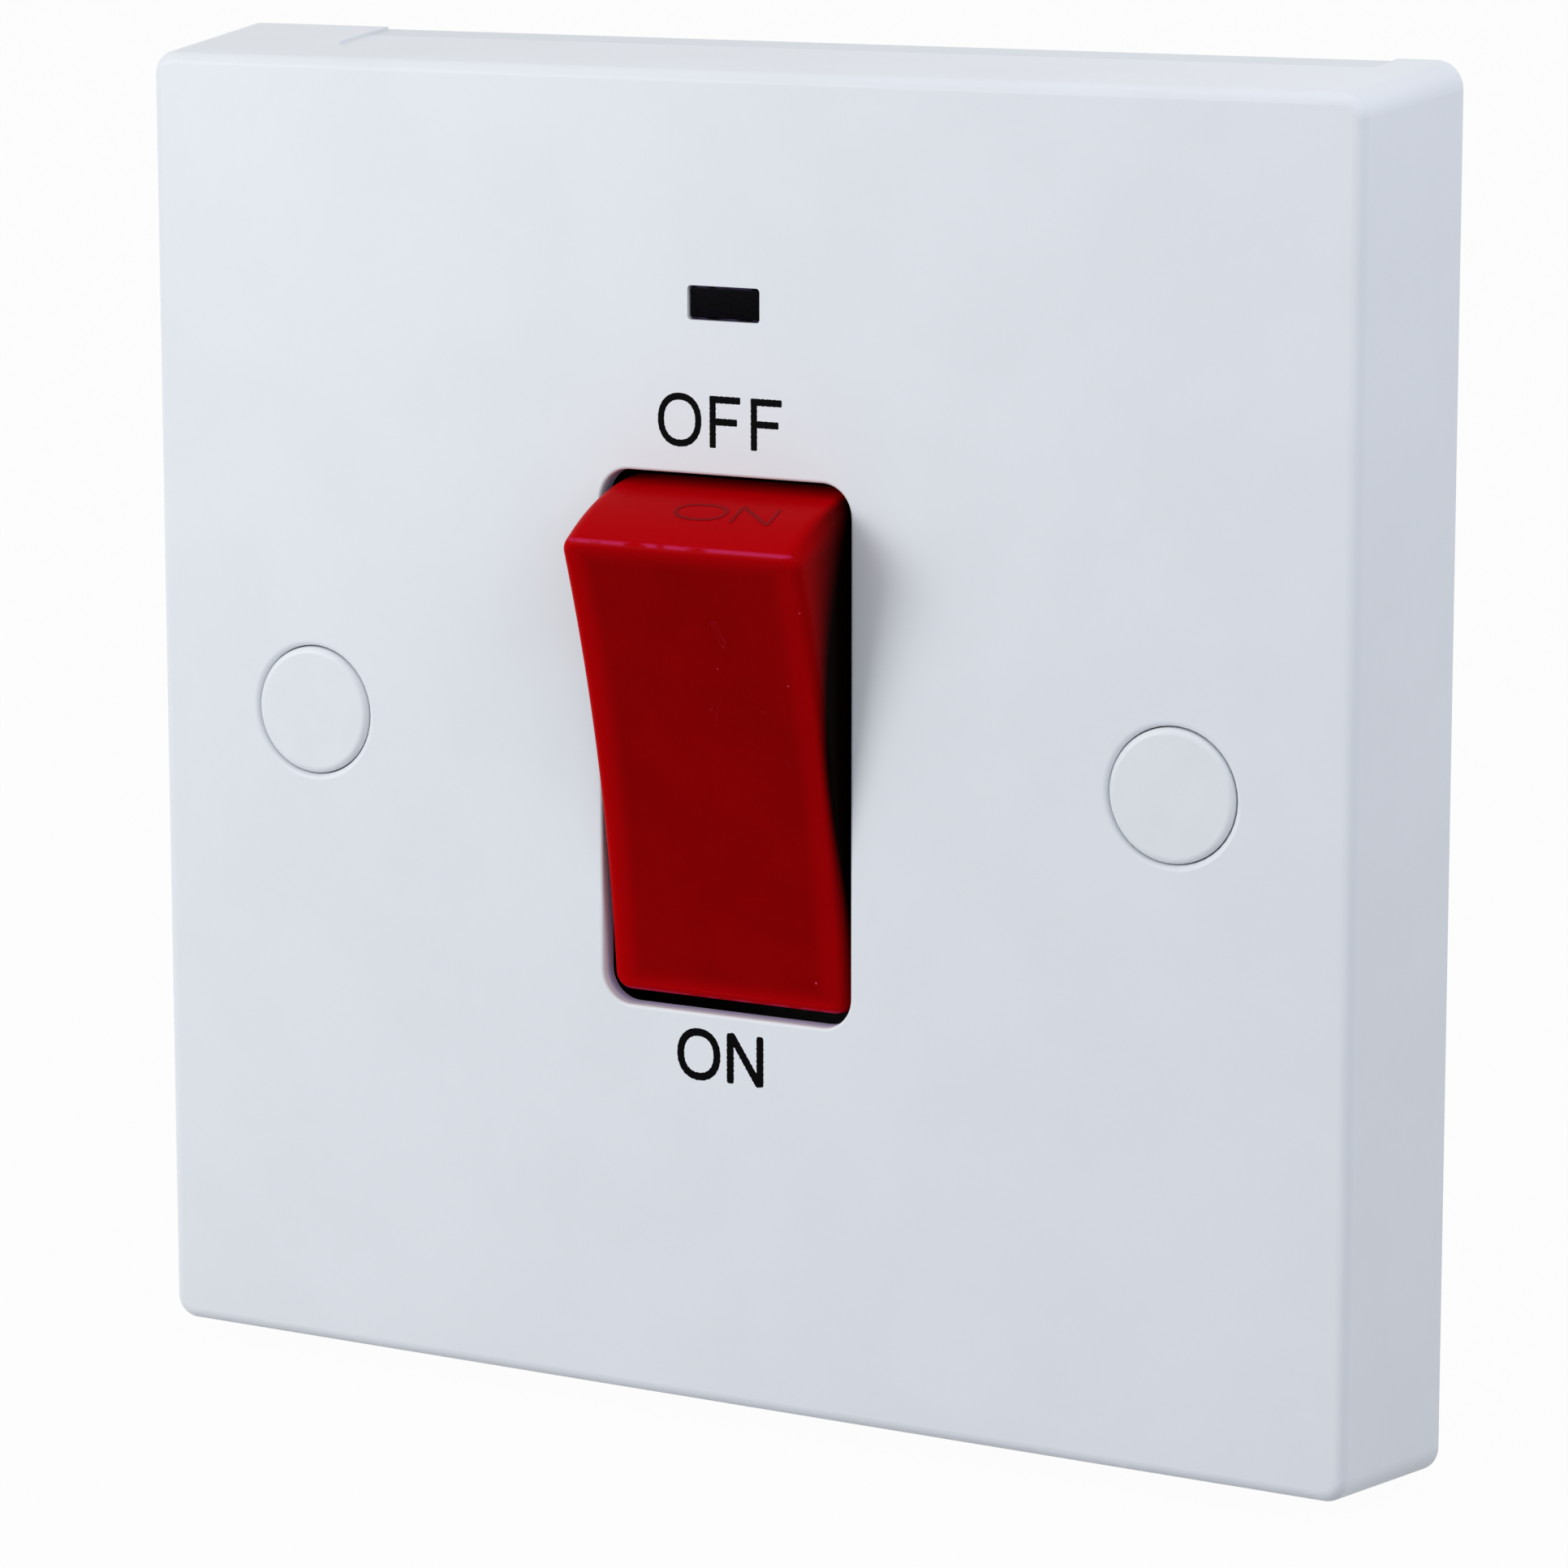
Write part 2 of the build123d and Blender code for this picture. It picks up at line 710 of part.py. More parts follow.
# Screw caps: a disc on the ledge with a hollow spigot in the counterbore
for side, sign in sides:
    spigot_r = counterbore_r - spigot_gap
    with BuildPart() as screw_cap:
        with BuildSketch(across(cap_ledge_y)):
            with Locations((sign * boss_x, 0)):
                Circle(cap_r)
        extrude(amount=cap_t + cap_proud)
        fillet(screw_cap.faces().sort_by(Axis.Y)[0].edges(), cap_edge_r)
        with BuildSketch(across(cap_ledge_y)):
            with Locations((sign * boss_x, 0)):
                Circle(spigot_r)
                Circle(spigot_r - spigot_wall, mode=Mode.SUBTRACT)
        extrude(amount=-spigot_len)
    keep(screw_cap, f"screw_cap_{side}")

# Neon indicator: lens in the plate, lamp in the base's holder, resistor and leads
with BuildPart() as neon_lens:
    with BuildSketch(across(inner_y)):
        with Locations((0, neon_z)):
            RectangleRounded(lens_w, lens_h, lens_corner_r)
    extrude(amount=front_wall - lens_inset)
    fillet(neon_lens.faces().sort_by(Axis.Y)[0].edges(), lens_edge_r)
    with BuildSketch(across(inner_y)):
        with Locations((0, neon_z)):
            Rectangle(lens_w + 2 * lens_flange, lens_h + 2 * lens_flange)
    extrude(amount=-lens_flange_t)
keep(neon_lens, "neon_lens")

with BuildPart() as neon_lamp:
    with BuildSketch(Plane.YZ.offset(-lamp_len / 2)):
        with Locations((lamp_y, neon_z)):
            Circle(lamp_r)
    extrude(amount=lamp_len)
    fillet(neon_lamp.edges().filter_by(GeomType.CIRCLE), lamp_end_r)
keep(neon_lamp, "neon_lamp")

lead_z = aperture_z + block_far - lead_drop
resistor_front = lamp_y + resistor_lead
resistor_back = resistor_front + resistor_len
with BuildPart() as neon_resistor:
    with BuildSketch(across(resistor_front)):
        with Locations((-lead_x, lead_z)):
            Circle(resistor_r)
    extrude(amount=-resistor_len)
    for start in (resistor_front, resistor_back - resistor_cap):
        with BuildSketch(across(start)):
            with Locations((-lead_x, lead_z)):
                Circle(resistor_cap_r)
        extrude(amount=-resistor_cap)
    fillet(neon_resistor.edges().filter_by(GeomType.CIRCLE).group_by(Axis.Y)[0], resistor_cap / 3)
    fillet(neon_resistor.edges().filter_by(GeomType.CIRCLE).group_by(Axis.Y)[-1], resistor_cap / 3)
keep(neon_resistor, "neon_resistor")

with BuildPart() as neon_leads:
    for side, sign in sides:
        lead_end = resistor_front if side == "left" else block_front_y
        with BuildLine() as route:
            FilletPolyline(
                (sign * lamp_len / 2, lamp_y, neon_z),
                (sign * lead_x, lamp_y, neon_z),
                (sign * lead_x, lamp_y, lead_z),
                (sign * lead_x, lead_end, lead_z),
                radius=lead_bend,
            )
        with BuildSketch(Plane(origin=route.line @ 0, z_dir=route.line % 0)):
            Circle(lead_r)
        sweep(path=route.line)
    with BuildSketch(across(resistor_back)):
        with Locations((-lead_x, lead_z)):
            Circle(lead_r)
    extrude(amount=resistor_back - block_front_y)
keep(neon_leads, "neon_leads")

# Earth terminal and its screw on the tongue
earth_front_y = tongue_y + seat_gap
earth_back_y = earth_front_y + earth_depth
earth_bore_y = earth_front_y + earth_bore_wall + earth_bore_r
earth_mid = earth_top - earth_len / 2

with BuildPart() as earth_terminal:
    with BuildSketch(across(earth_front_y)):
        with Locations((0, earth_mid)):
            Rectangle(earth_w, earth_len)
    extrude(amount=-earth_depth)
    chamfer(earth_terminal.edges().group_by(Axis.Y)[-1], block_edge)
    with BuildSketch(Plane.XY.offset(tongue_low)):
        with Locations((0, earth_bore_y)):
            Circle(earth_bore_r)
    extrude(amount=earth_bore_depth, mode=Mode.SUBTRACT)
    with BuildSketch(across(earth_bore_y)):
        with Locations((0, earth_mid)):
            Circle(earth_screw_r + thread_clear)
    extrude(amount=earth_bore_y - earth_back_y, mode=Mode.SUBTRACT)
keep(earth_terminal, "earth_terminal")

slotted_screws(
    "earth_screw",
    [rearward(0, earth_back_y + 2 * seat_gap, earth_mid)],
    earth_head_r,
    earth_head_t,
    earth_screw_r,
    earth_back_y + seat_gap - earth_bore_y - earth_bore_r,
)
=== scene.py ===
"""Looks of a double pole wall switch: finishes, lettering, screw threads, light and camera.

Everything is in metres in the frame of the solids: X to the right, Y into the wall, Z up, and the
origin at the centre of the plate's back rim. Sizes in the classes are in millimetres.
"""

import json
import logging
import math
from dataclasses import dataclass, field, replace
from enum import Enum
from functools import cached_property
from typing import Any, Protocol

import bpy
import numpy as np
from mathutils import Matrix, Vector


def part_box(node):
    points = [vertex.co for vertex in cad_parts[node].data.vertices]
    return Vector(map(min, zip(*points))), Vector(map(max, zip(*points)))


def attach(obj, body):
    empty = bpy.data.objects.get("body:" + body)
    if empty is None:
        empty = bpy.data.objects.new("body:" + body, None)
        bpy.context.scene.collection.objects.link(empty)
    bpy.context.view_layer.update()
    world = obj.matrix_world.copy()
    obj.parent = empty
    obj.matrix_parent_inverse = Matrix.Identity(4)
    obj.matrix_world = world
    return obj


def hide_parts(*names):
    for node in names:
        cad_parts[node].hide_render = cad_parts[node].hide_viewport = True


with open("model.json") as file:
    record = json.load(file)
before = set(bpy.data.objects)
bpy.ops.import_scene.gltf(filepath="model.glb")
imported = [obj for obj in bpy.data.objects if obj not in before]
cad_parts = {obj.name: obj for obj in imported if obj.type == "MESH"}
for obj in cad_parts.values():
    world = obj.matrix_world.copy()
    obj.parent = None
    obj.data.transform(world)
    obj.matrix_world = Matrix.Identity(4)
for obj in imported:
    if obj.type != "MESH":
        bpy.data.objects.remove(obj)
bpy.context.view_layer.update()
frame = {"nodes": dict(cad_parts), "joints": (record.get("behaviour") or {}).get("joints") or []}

log = logging.getLogger("switch")

MM = 0.001
PHOTO_PX = 1932
ROOT_BODY = "body"

Pair = tuple[float, float]
Triple = tuple[float, float, float]
Socket = bpy.types.NodeSocket
COLOURS = {"data_type": "RGBA"}
EASED = {"interpolation_type": "SMOOTHSTEP"}
HIGHEST = {"operation": "MAXIMUM"}
LESS = {"operation": "SUBTRACT"}
TIMES = {"operation": "MULTIPLY"}
TIMES_PLUS = {"operation": "MULTIPLY_ADD"}
WITHOUT_SIGN = {"operation": "ABSOLUTE"}


class Side(Enum):
    """Which side of the switch's middle a piece is on, as the sign of its X."""

    LEFT = -1
    RIGHT = 1


class Word(Enum):
    """The words that the switch carries."""

    OFF = "OFF"
    ON = "ON"
    LIVE = "L"
    NEUTRAL = "N"


# Places read once from the solids, in millimetres


def box_mm(node: str) -> tuple[np.ndarray, np.ndarray]:
    """Gives a node's lowest and highest corners at rest.

    Args:
        node: The solid's name.

    Returns:
        The two corners in millimetres.
    """
    low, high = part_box(node)
    return np.array(low) / MM, np.array(high) / MM


def hinge_mm(name: str) -> np.ndarray:
    """Gives a point on a hinge's axis in millimetres.

    Args:
        name: The joint's name.

    Returns:
        The point that the joint states.
    """
    joint = next(j for j in frame["joints"] if j["name"] == name)
    return np.array(joint["pos_m"]) / MM


# Meshes


def shell_volume(points: np.ndarray, faces: list[list[int]]) -> float:
    """Adds up the signed volumes of the cones from the origin to each face.

    Args:
        points: Corner positions, one row each.
        faces: Lists of corner numbers.

    Returns:
        The volume, negative where the faces point inwards.
    """
    fans = [(f[0], b, c) for f in faces for b, c in zip(f[1:-1], f[2:])]
    a, b, c = (points[np.array(fans)[:, k]] for k in range(3))
    return float(np.einsum("ij,ij->i", a, np.cross(b, c)).sum() / 6)


def grid_faces(rows: int, columns: int) -> list[list[int]]:
    """Numbers the faces of a tube of rings: each joins a ring's side to the next ring's.

    Args:
        rows: How many rings there are.
        columns: How many points a ring has.

    Returns:
        The four-sided faces between the rings and one cap at each end.
    """
    ring, spoke = np.meshgrid(np.arange(rows - 1), np.arange(columns), indexing="ij")
    here = ring * columns + spoke
    beside = ring * columns + (spoke + 1) % columns
    sides = np.stack([here, beside, beside + columns, here + columns], -1).reshape(-1, 4)
    start = list(range(columns - 1, -1, -1))
    last = (rows - 1) * columns
    return sides.tolist() + [start, list(range(last, last + columns))]


def closed_shells(name: str, shells: list[np.ndarray]) -> bpy.types.Object:
    """Makes one mesh of several closed tubes, each a grid of rings by points.

    Args:
        name: The piece's name.
        shells: Arrays of shape (rings, points, 3) in millimetres.

    Returns:
        The linked object, at the origin, with its faces pointing outwards and shaded smooth.
    """
    points: list[np.ndarray] = []
    faces: list[list[int]] = []
    for shell in shells:
        flat = shell.reshape(-1, 3)
        own = grid_faces(shell.shape[0], shell.shape[1])
        if shell_volume(flat - flat.mean(0), own) < 0:
            own = [face[::-1] for face in own]
        start = sum(len(part) for part in points)
        faces += [[start + corner for corner in face] for face in own]
        points.append(flat)
    mesh = bpy.data.meshes.new(name)
    mesh.from_pydata((np.concatenate(points) * MM).tolist(), [], faces)
    mesh.polygons.foreach_set("use_smooth", np.ones(len(mesh.polygons), bool))
    mesh.set_sharp_from_angle(angle=math.radians(50))
    mesh.validate()
    piece = bpy.data.objects.new(name, mesh)
    bpy.context.scene.collection.objects.link(piece)
    return piece


# Lettering: each letter is a few strokes, and a stroke is a narrow closed ribbon


class Ground(Protocol):
    """A surface that words are laid on."""

    def lay(self, flat: np.ndarray, lift: np.ndarray) -> np.ndarray:
        """Carries points of the word's own plane to the surface.

        Args:
            flat: Points across and up the word, in millimetres.
            lift: Each point's height above the surface.

        Returns:
            The points in space, in millimetres.
        """
        ...


@dataclass(frozen=True)
class LevelGround:
    """A flat wall at one depth, read from the room or from behind it."""

    y: float
    from_behind: bool = False

    def lay(self, flat: np.ndarray, lift: np.ndarray) -> np.ndarray:
        """X and Z are the word's own, mirrored from behind, and Y is the wall less the lift."""
        turn = -1.0 if self.from_behind else 1.0
        return np.stack([turn * flat[..., 0], self.y - turn * lift, flat[..., 1]], -1)


@dataclass(frozen=True)
class RockerEnd:
    """The rocker's rounded top end, a cylinder about its axis.

    The word's height runs back along the arc, so a point is at reach + lift from the axis and at an
    angle of height / reach from the rocker's front.
    """

    axis: np.ndarray
    reach: float
    tilt_deg: float

    def lay(self, flat: np.ndarray, lift: np.ndarray) -> np.ndarray:
        """Rolls the word round the end: up the word is away from the room."""
        tilt = math.radians(self.tilt_deg)
        up = np.array([0, -math.sin(tilt), math.cos(tilt)])
        front = np.array([0, -math.cos(tilt), -math.sin(tilt)])
        angle = (-flat[..., 1] / self.reach)[..., None]
        out = (self.reach + lift)[..., None] * (np.cos(angle) * up + np.sin(angle) * front)
        return self.axis + out + flat[..., :1] * np.array([1.0, 0, 0])


@dataclass(frozen=True)
class LetterPen:
    """The stroke that words are drawn with.

    Args:
        width: Width of a stroke.
        height: How far a stroke stands above the surface.
        corner: Radius of a stroke's end corners.
        sink: How far a stroke reaches below the surface.
        wave: How far a stroke's edges wander in and out.
    """

    width: float
    height: float
    corner: float = 0.08
    sink: float = 0.02
    wave: float = 0.0

    def ribbon(self, start: np.ndarray, end: np.ndarray, ground: Ground) -> np.ndarray:
        """Draws one straight stroke: a flattened tube whose rings are square superellipses.

        A ring's point is the middle line's point + side * half width * c + lift, where c and the
        lift are the signed square roots of a cosine and a sine. At both ends the half width
        follows a quarter circle of the corner radius.

        Args:
            start: One end of the stroke.
            end: Its other end.
            ground: What it is laid on.

        Returns:
            Rings by points by three, in millimetres.
        """
        length = float(np.linalg.norm(end - start))
        turn = np.linspace(0, math.pi / 2, 6)
        run = self.corner * (1 - np.cos(turn))
        cut = self.corner * (1 - np.sin(turn))
        middle = np.linspace(self.corner, length - self.corner, int(length / 0.06) + 3)[1:-1]
        place = np.concatenate([run, middle, length - run[::-1]])
        narrow = np.concatenate([cut, np.zeros(len(middle)), cut[::-1]])
        along = (end - start) / length
        line = start + along * place[:, None]
        side = np.broadcast_to(np.array([along[1], -along[0]]), line.shape)
        return self._rings(line, side, self.width / 2 - narrow, ground)

    def hoop(self, centre: np.ndarray, half_size: np.ndarray, ground: Ground) -> np.ndarray:
        """Draws an O: a closed ribbon along a superellipse of power 2.2.

        Args:
            centre: The letter's middle.
            half_size: Half its outer width and height.
            ground: What it is laid on.

        Returns:
            Rings by points by three, in millimetres, the last ring over the first.
        """
        turn = np.linspace(0, 2 * math.pi, 97)
        power = 2 / 2.2
        wave = np.stack([np.sin(turn), np.cos(turn)], -1)
        shape = np.sign(wave) * np.abs(wave) ** power
        line = centre + shape * (half_size - self.width / 2)
        run = np.roll(line[:-1], -1, 0) - np.roll(line[:-1], 1, 0)
        run = np.concatenate([run, run[:1]])
        run /= np.linalg.norm(run, axis=1)[:, None]
        side = np.stack([run[:, 1], -run[:, 0]], -1)
        return self._rings(line, side, np.full(len(line), self.width / 2), ground)

    def _rings(
        self, line: np.ndarray, side: np.ndarray, half: np.ndarray, ground: Ground
    ) -> np.ndarray:
        """Puts a flat superellipse round each point of a line.

        The half width wanders by two sines of the place along the line, 0.26 and 0.4 mm long.
        """
        steps = np.linalg.norm(np.diff(line, axis=0), axis=1)
        place = np.concatenate([[0.0], np.cumsum(steps)])
        wander = np.sin(2 * math.pi * place / 0.26) + np.sin(2 * math.pi * place / 0.4 + 1.0)
        fade = np.sin(math.pi * place / place[-1]) ** 0.5
        half = half + self.wave / 2 * wander * fade
        spin = np.linspace(0, 2 * math.pi, 16, endpoint=False)
        across = np.sign(np.cos(spin)) * np.sqrt(np.abs(np.cos(spin)))
        rise = np.sign(np.sin(spin)) * np.sqrt(np.abs(np.sin(spin)))
        lift = np.where(rise > 0, rise * self.height, rise * self.sink)
        flat = line[:, None] + side[:, None] * (half[:, None] * across)[..., None]
        return ground.lay(flat, np.broadcast_to(lift, flat.shape[:2]))


@dataclass(frozen=True)
class Lettering:
    """Words of plain single-stroke capitals.

    Args:
        pen: The stroke.
        height: Height of a straight letter.
        round_width: Outer width of an O.
        n_width: Width of an N.
    """

    pen: LetterPen
    height: float
    round_width: float
    n_width: float

    def letter(self, sign: str, left: float, base: float, ground: Ground) -> list[np.ndarray]:
        """Draws one letter from the middle lines of its strokes.

        Args:
            sign: The letter.
            left: Where its left edge is.
            base: Where its foot is.
            ground: What it is laid on.

        Returns:
            One closed shell for each stroke.
        """
        half = self.pen.width / 2
        low, high, waist = base, base + self.height, base + 0.505 * self.height
        if sign == "O":
            over = 0.02 * self.height
            middle = np.array([left + self.round_width / 2, (low + high) / 2])
            size = np.array([self.round_width / 2, self.height / 2 + over])
            return [self.pen.hoop(middle, size, ground)]
        stem, far = left + half, left + self.n_width - half
        top, short, long = high - half, left + 0.6 * self.height, left + 0.67 * self.height
        others = {
            "F": [((left, top), (long, top)), ((stem, waist), (short, waist))],
            "L": [((left, low + half), (short, low + half))],
            "N": [((stem, high), (far, low)), ((far, low), (far, high))],
        }
        round_pen = replace(self.pen, corner=0.95 * half)
        shells: list[np.ndarray] = []
        for start, end in [((stem, low), (stem, high)), *others[sign]]:
            slanted = start[0] != end[0] and start[1] != end[1]
            pen = round_pen if slanted else self.pen
            shells.append(pen.ribbon(np.array(start), np.array(end), ground))
        return shells

    def word(
        self, name: str, text: Word, lefts: list[float], base: float, ground: Ground
    ) -> bpy.types.Object:
        """Draws a word as one piece.

        Args:
            name: The piece's name.
            text: The word.
            lefts: Where each letter's left edge is.
            base: Where the letters' feet are.
            ground: What it is laid on.

        Returns:
            The piece.
        """
        shells: list[np.ndarray] = []
        for sign, left in zip(text.value, lefts):
            shells += self.letter(sign, left, base, ground)
        return closed_shells(name, shells)


# Finishes


def linear(code: str) -> tuple[float, float, float, float]:
    """Turns an sRGB hex colour to linear light, with 1 as the fourth value.

    Args:
        code: Six hex digits.

    Returns:
        The linear colour.
    """
    parts = (int(code[k : k + 2], 16) / 255 for k in (0, 2, 4))
    red, green, blue = (p / 12.92 if p <= 0.04045 else ((p + 0.055) / 1.055) ** 2.4 for p in parts)
    return red, green, blue, 1.0


def per_metre(feature_mm: float) -> float:
    """Turns a feature's real size to a texture scale on coordinates in metres."""
    return 1 / (feature_mm * MM)


class Nodes:
    """The node tree of a material or world that is being made.

    Args:
        owner: The material or world, whose old nodes are cleared.
    """

    def __init__(self, owner: bpy.types.Material | bpy.types.World) -> None:
        """Empties the owner's tree."""
        owner.use_nodes = True
        owner.node_tree.nodes.clear()
        self.owner = owner
        self.tree = owner.node_tree

    def add(self, kind: str, inputs: Any = (), **settings: Any) -> Any:
        """Adds a node, fills or links its inputs and sets its properties.

        Args:
            kind: The node's type without its prefix.
            inputs: The first inputs in order, or inputs by name or number. Each is a socket to
                link, a value, or a hex colour.
            settings: Properties by name.

        Returns:
            The node's outputs.
        """
        node = self.tree.nodes.new("ShaderNode" + kind)
        for name, value in settings.items():
            setattr(node, name, value)
        for key, value in inputs.items() if isinstance(inputs, dict) else enumerate(inputs):
            if isinstance(value, Socket):
                self.tree.links.new(value, node.inputs[key])
            else:
                node.inputs[key].default_value = linear(value) if isinstance(value, str) else value
        return node.outputs

    @cached_property
    def place(self) -> Socket:
        """The Object coordinates, in metres."""
        return self.add("TexCoord")["Object"]

    @cached_property
    def split(self) -> Any:
        """The Object coordinates' X, Y and Z, in millimetres."""
        scaled = self.add("VectorMath", {0: self.place, "Scale": 1 / MM}, operation="SCALE")[0]
        return self.add("SeparateXYZ", [scaled])

    def seen(self) -> Socket:
        """Gives 1 to rays of camera, gloss and transmission, and 0 to the light's own rays."""
        path = self.add("LightPath")
        share = self.add("Math", [path["Is Camera Ray"], path["Is Glossy Ray"]], **HIGHEST)[0]
        return self.add("Math", [share, path["Is Transmission Ray"]], **HIGHEST)[0]

    def done(self, shader: Socket, output: str = "OutputMaterial") -> Any:
        """Links the shader to the output.

        Args:
            shader: The finished shader.
            output: The output node's kind.

        Returns:
            The owner.
        """
        self.add(output, {"Surface": shader})
        return self.owner


class Finish:
    """A finish that can be made into a material."""

    name: str

    def sockets(self, nodes: Nodes) -> dict[str, Any]:
        """Makes what the shader is given.

        Args:
            nodes: The material's nodes.

        Returns:
            A value or a socket for each of the shader's inputs by name.
        """
        raise NotImplementedError

    def make(self) -> bpy.types.Material:
        """Builds the material.

        Returns:
            The finished material.
        """
        nodes = Nodes(bpy.data.materials.new(self.name))
        return nodes.done(nodes.add("BsdfPrincipled", self.sockets(nodes))[0])


@dataclass(frozen=True)
class Moulding(Finish):
    """A moulded plastic: faint clouds of colour, an even fine grain and a soft or bright gloss.

    Args:
        name: The material's name.
        colour: Its main colour.
        cloud: The colour that its clouds lean to.
        cloud_mm: Size of a cloud.
        cloud_edges: The noise's levels between which the colour turns.
        roughness: Middle of its roughness.
        swing: How far the roughness goes up and down from there.
        specular: Specular level, 0.5 for the full reflection of its IOR.
        grain_mm: Size of the tool's grain on the surface.
        grain_height: Height of that grain in millimetres.
        depth_glow: Share of light that travels inside the plastic.
    """

    name: str
    colour: str
    cloud: str
    cloud_mm: float = 8.0
    cloud_edges: Pair = (0.35, 0.65)
    roughness: float = 0.4
    swing: float = 0.04
    specular: float = 0.5
    grain_mm: float = 0.25
    grain_height: float = 0.002
    depth_glow: float = 0.0

    def tint(self, nodes: Nodes) -> Socket:
        """Mixes the two colours by a soft noise.

        Args:
            nodes: The material's nodes.

        Returns:
            The colour.
        """
        soft = {"Scale": per_metre(self.cloud_mm), "Detail": 3.0, "Roughness": 0.55}
        clouds = nodes.add("TexNoise", {"Vector": nodes.place, **soft})[0]
        share = nodes.add("MapRange", [clouds, *self.cloud_edges], **EASED)[0]
        return nodes.add("Mix", {0: share, 6: self.colour, 7: self.cloud}, **COLOURS)[2]

    def sockets(self, nodes: Nodes) -> dict[str, Any]:
        """Gives a plastic whose grain is in its roughness and its surface."""
        fine = {"Scale": per_metre(self.grain_mm), "Detail": 2.0}
        grain = nodes.add("TexNoise", {"Vector": nodes.place, **fine})[0]
        height = {"Strength": 0.35, "Distance": self.grain_height * MM, "Height": grain}
        low, high = self.roughness - self.swing, self.roughness + self.swing
        return {
            "IOR": 1.5,
            "Specular IOR Level": self.specular,
            "Subsurface Weight": self.depth_glow,
            "Subsurface Scale": 1.5 * MM,
            "Base Color": self.tint(nodes),
            "Roughness": nodes.add("MapRange", [grain, 0, 1, low, high])[0],
            "Normal": nodes.add("Bump", height)[0],
        }


@dataclass(frozen=True)
class PlateMoulding(Moulding):
    """White urea moulding of the plate: greyer top recess, painted lilac shade in the rocker's
    opening.

    The recess is where the part is above recess_z, nearer the wall than recess_front and between
    the recess's two ends. The opening's walls are behind wall_front and within its half size.
    """

    recess_colour: str = "DFE3E8"
    recess_z: float = 42.6
    recess_front: float = -8.0
    recess_ends: Pair = (-31.5, 38.8)
    # The colour of the painted lilac shade on the walls of the rocker's opening
    wall_shade_colour: str = "D2D0F6"
    wall_front: float = -9.7
    wall_half: Pair = (9.6, 17.8)

    def tint(self, nodes: Nodes) -> Socket:
        """Adds the recess and the painted lilac shade of the opening's walls to the plain
        moulding's colour.
        """
        split = nodes.split
        recess = nodes.add("Math", [split[0], self.recess_ends[0]], operation="GREATER_THAN")[0]
        for limit, axis, sense in (
            (self.recess_ends[1], 0, "LESS_THAN"),
            (self.recess_front, 1, "GREATER_THAN"),
            (self.recess_z, 2, "GREATER_THAN"),
        ):
            within = nodes.add("Math", [split[axis], limit], operation=sense)[0]
            recess = nodes.add("Math", [recess, within], **TIMES)[0]
        colours = {0: recess, 6: super().tint(nodes), 7: self.recess_colour}
        dressed = nodes.add("Mix", colours, **COLOURS)[2]
        # Painted lilac shade on the walls of the rocker's opening, behind wall_front
        wall = nodes.add("MapRange", [split[1], self.wall_front, self.wall_front + 0.5], **EASED)[0]
        for half, axis in zip(self.wall_half, (0, 2)):
            off = nodes.add("Math", [split[axis]], **WITHOUT_SIGN)[0]
            within = nodes.add("Math", [off, half], operation="LESS_THAN")[0]
            wall = nodes.add("Math", [wall, within], **TIMES)[0]
        return nodes.add("Mix", {0: wall, 6: dressed, 7: self.wall_shade_colour}, **COLOURS)[2]


@dataclass(frozen=True)
class SmokedWindow(Moulding):
    """Smoked clear moulding with a painted highlight: a thin broken line round its rim.

    Args:
        rim: Colour of the painted highlight round the rim.
        middle: The window's middle along X and Z, in millimetres.
        half_size: Half its width and height.
        rim_width: Width of the painted highlight.
        break_mm: Size of the noise that breaks it.
        break_edges: The noise's levels between which it comes and goes.
    """

    # rim is the colour of a painted highlight
    rim: str = "5A4A72"
    middle: Pair = (0.0, 27.65)
    half_size: Pair = (2.45, 1.0)
    rim_width: float = 0.12
    break_mm: float = 0.8
    break_edges: Pair = (0.4, 0.6)

    def tint(self, nodes: Nodes) -> Socket:
        """Adds the painted highlight round the rim, broken by a noise, to the dark body."""
        to_rim: list[Socket] = []
        for axis, centre, half in zip((0, 2), self.middle, self.half_size):
            off = nodes.add("Math", [nodes.split[axis], centre], **LESS)[0]
            off = nodes.add("Math", [off], **WITHOUT_SIGN)[0]
            to_rim.append(nodes.add("MapRange", [off, half - self.rim_width, half], **EASED)[0])
        near = nodes.add("Math", to_rim, **HIGHEST)[0]
        breaks = {"Vector": nodes.place, "Scale": per_metre(self.break_mm), "Detail": 2.0}
        noise = nodes.add("TexNoise", breaks)[0]
        broken = nodes.add("MapRange", [noise, *self.break_edges], **EASED)[0]
        share = nodes.add("Math", [near, broken], **TIMES)[0]
        return nodes.add("Mix", {0: share, 6: super().tint(nodes), 7: self.rim}, **COLOURS)[2]


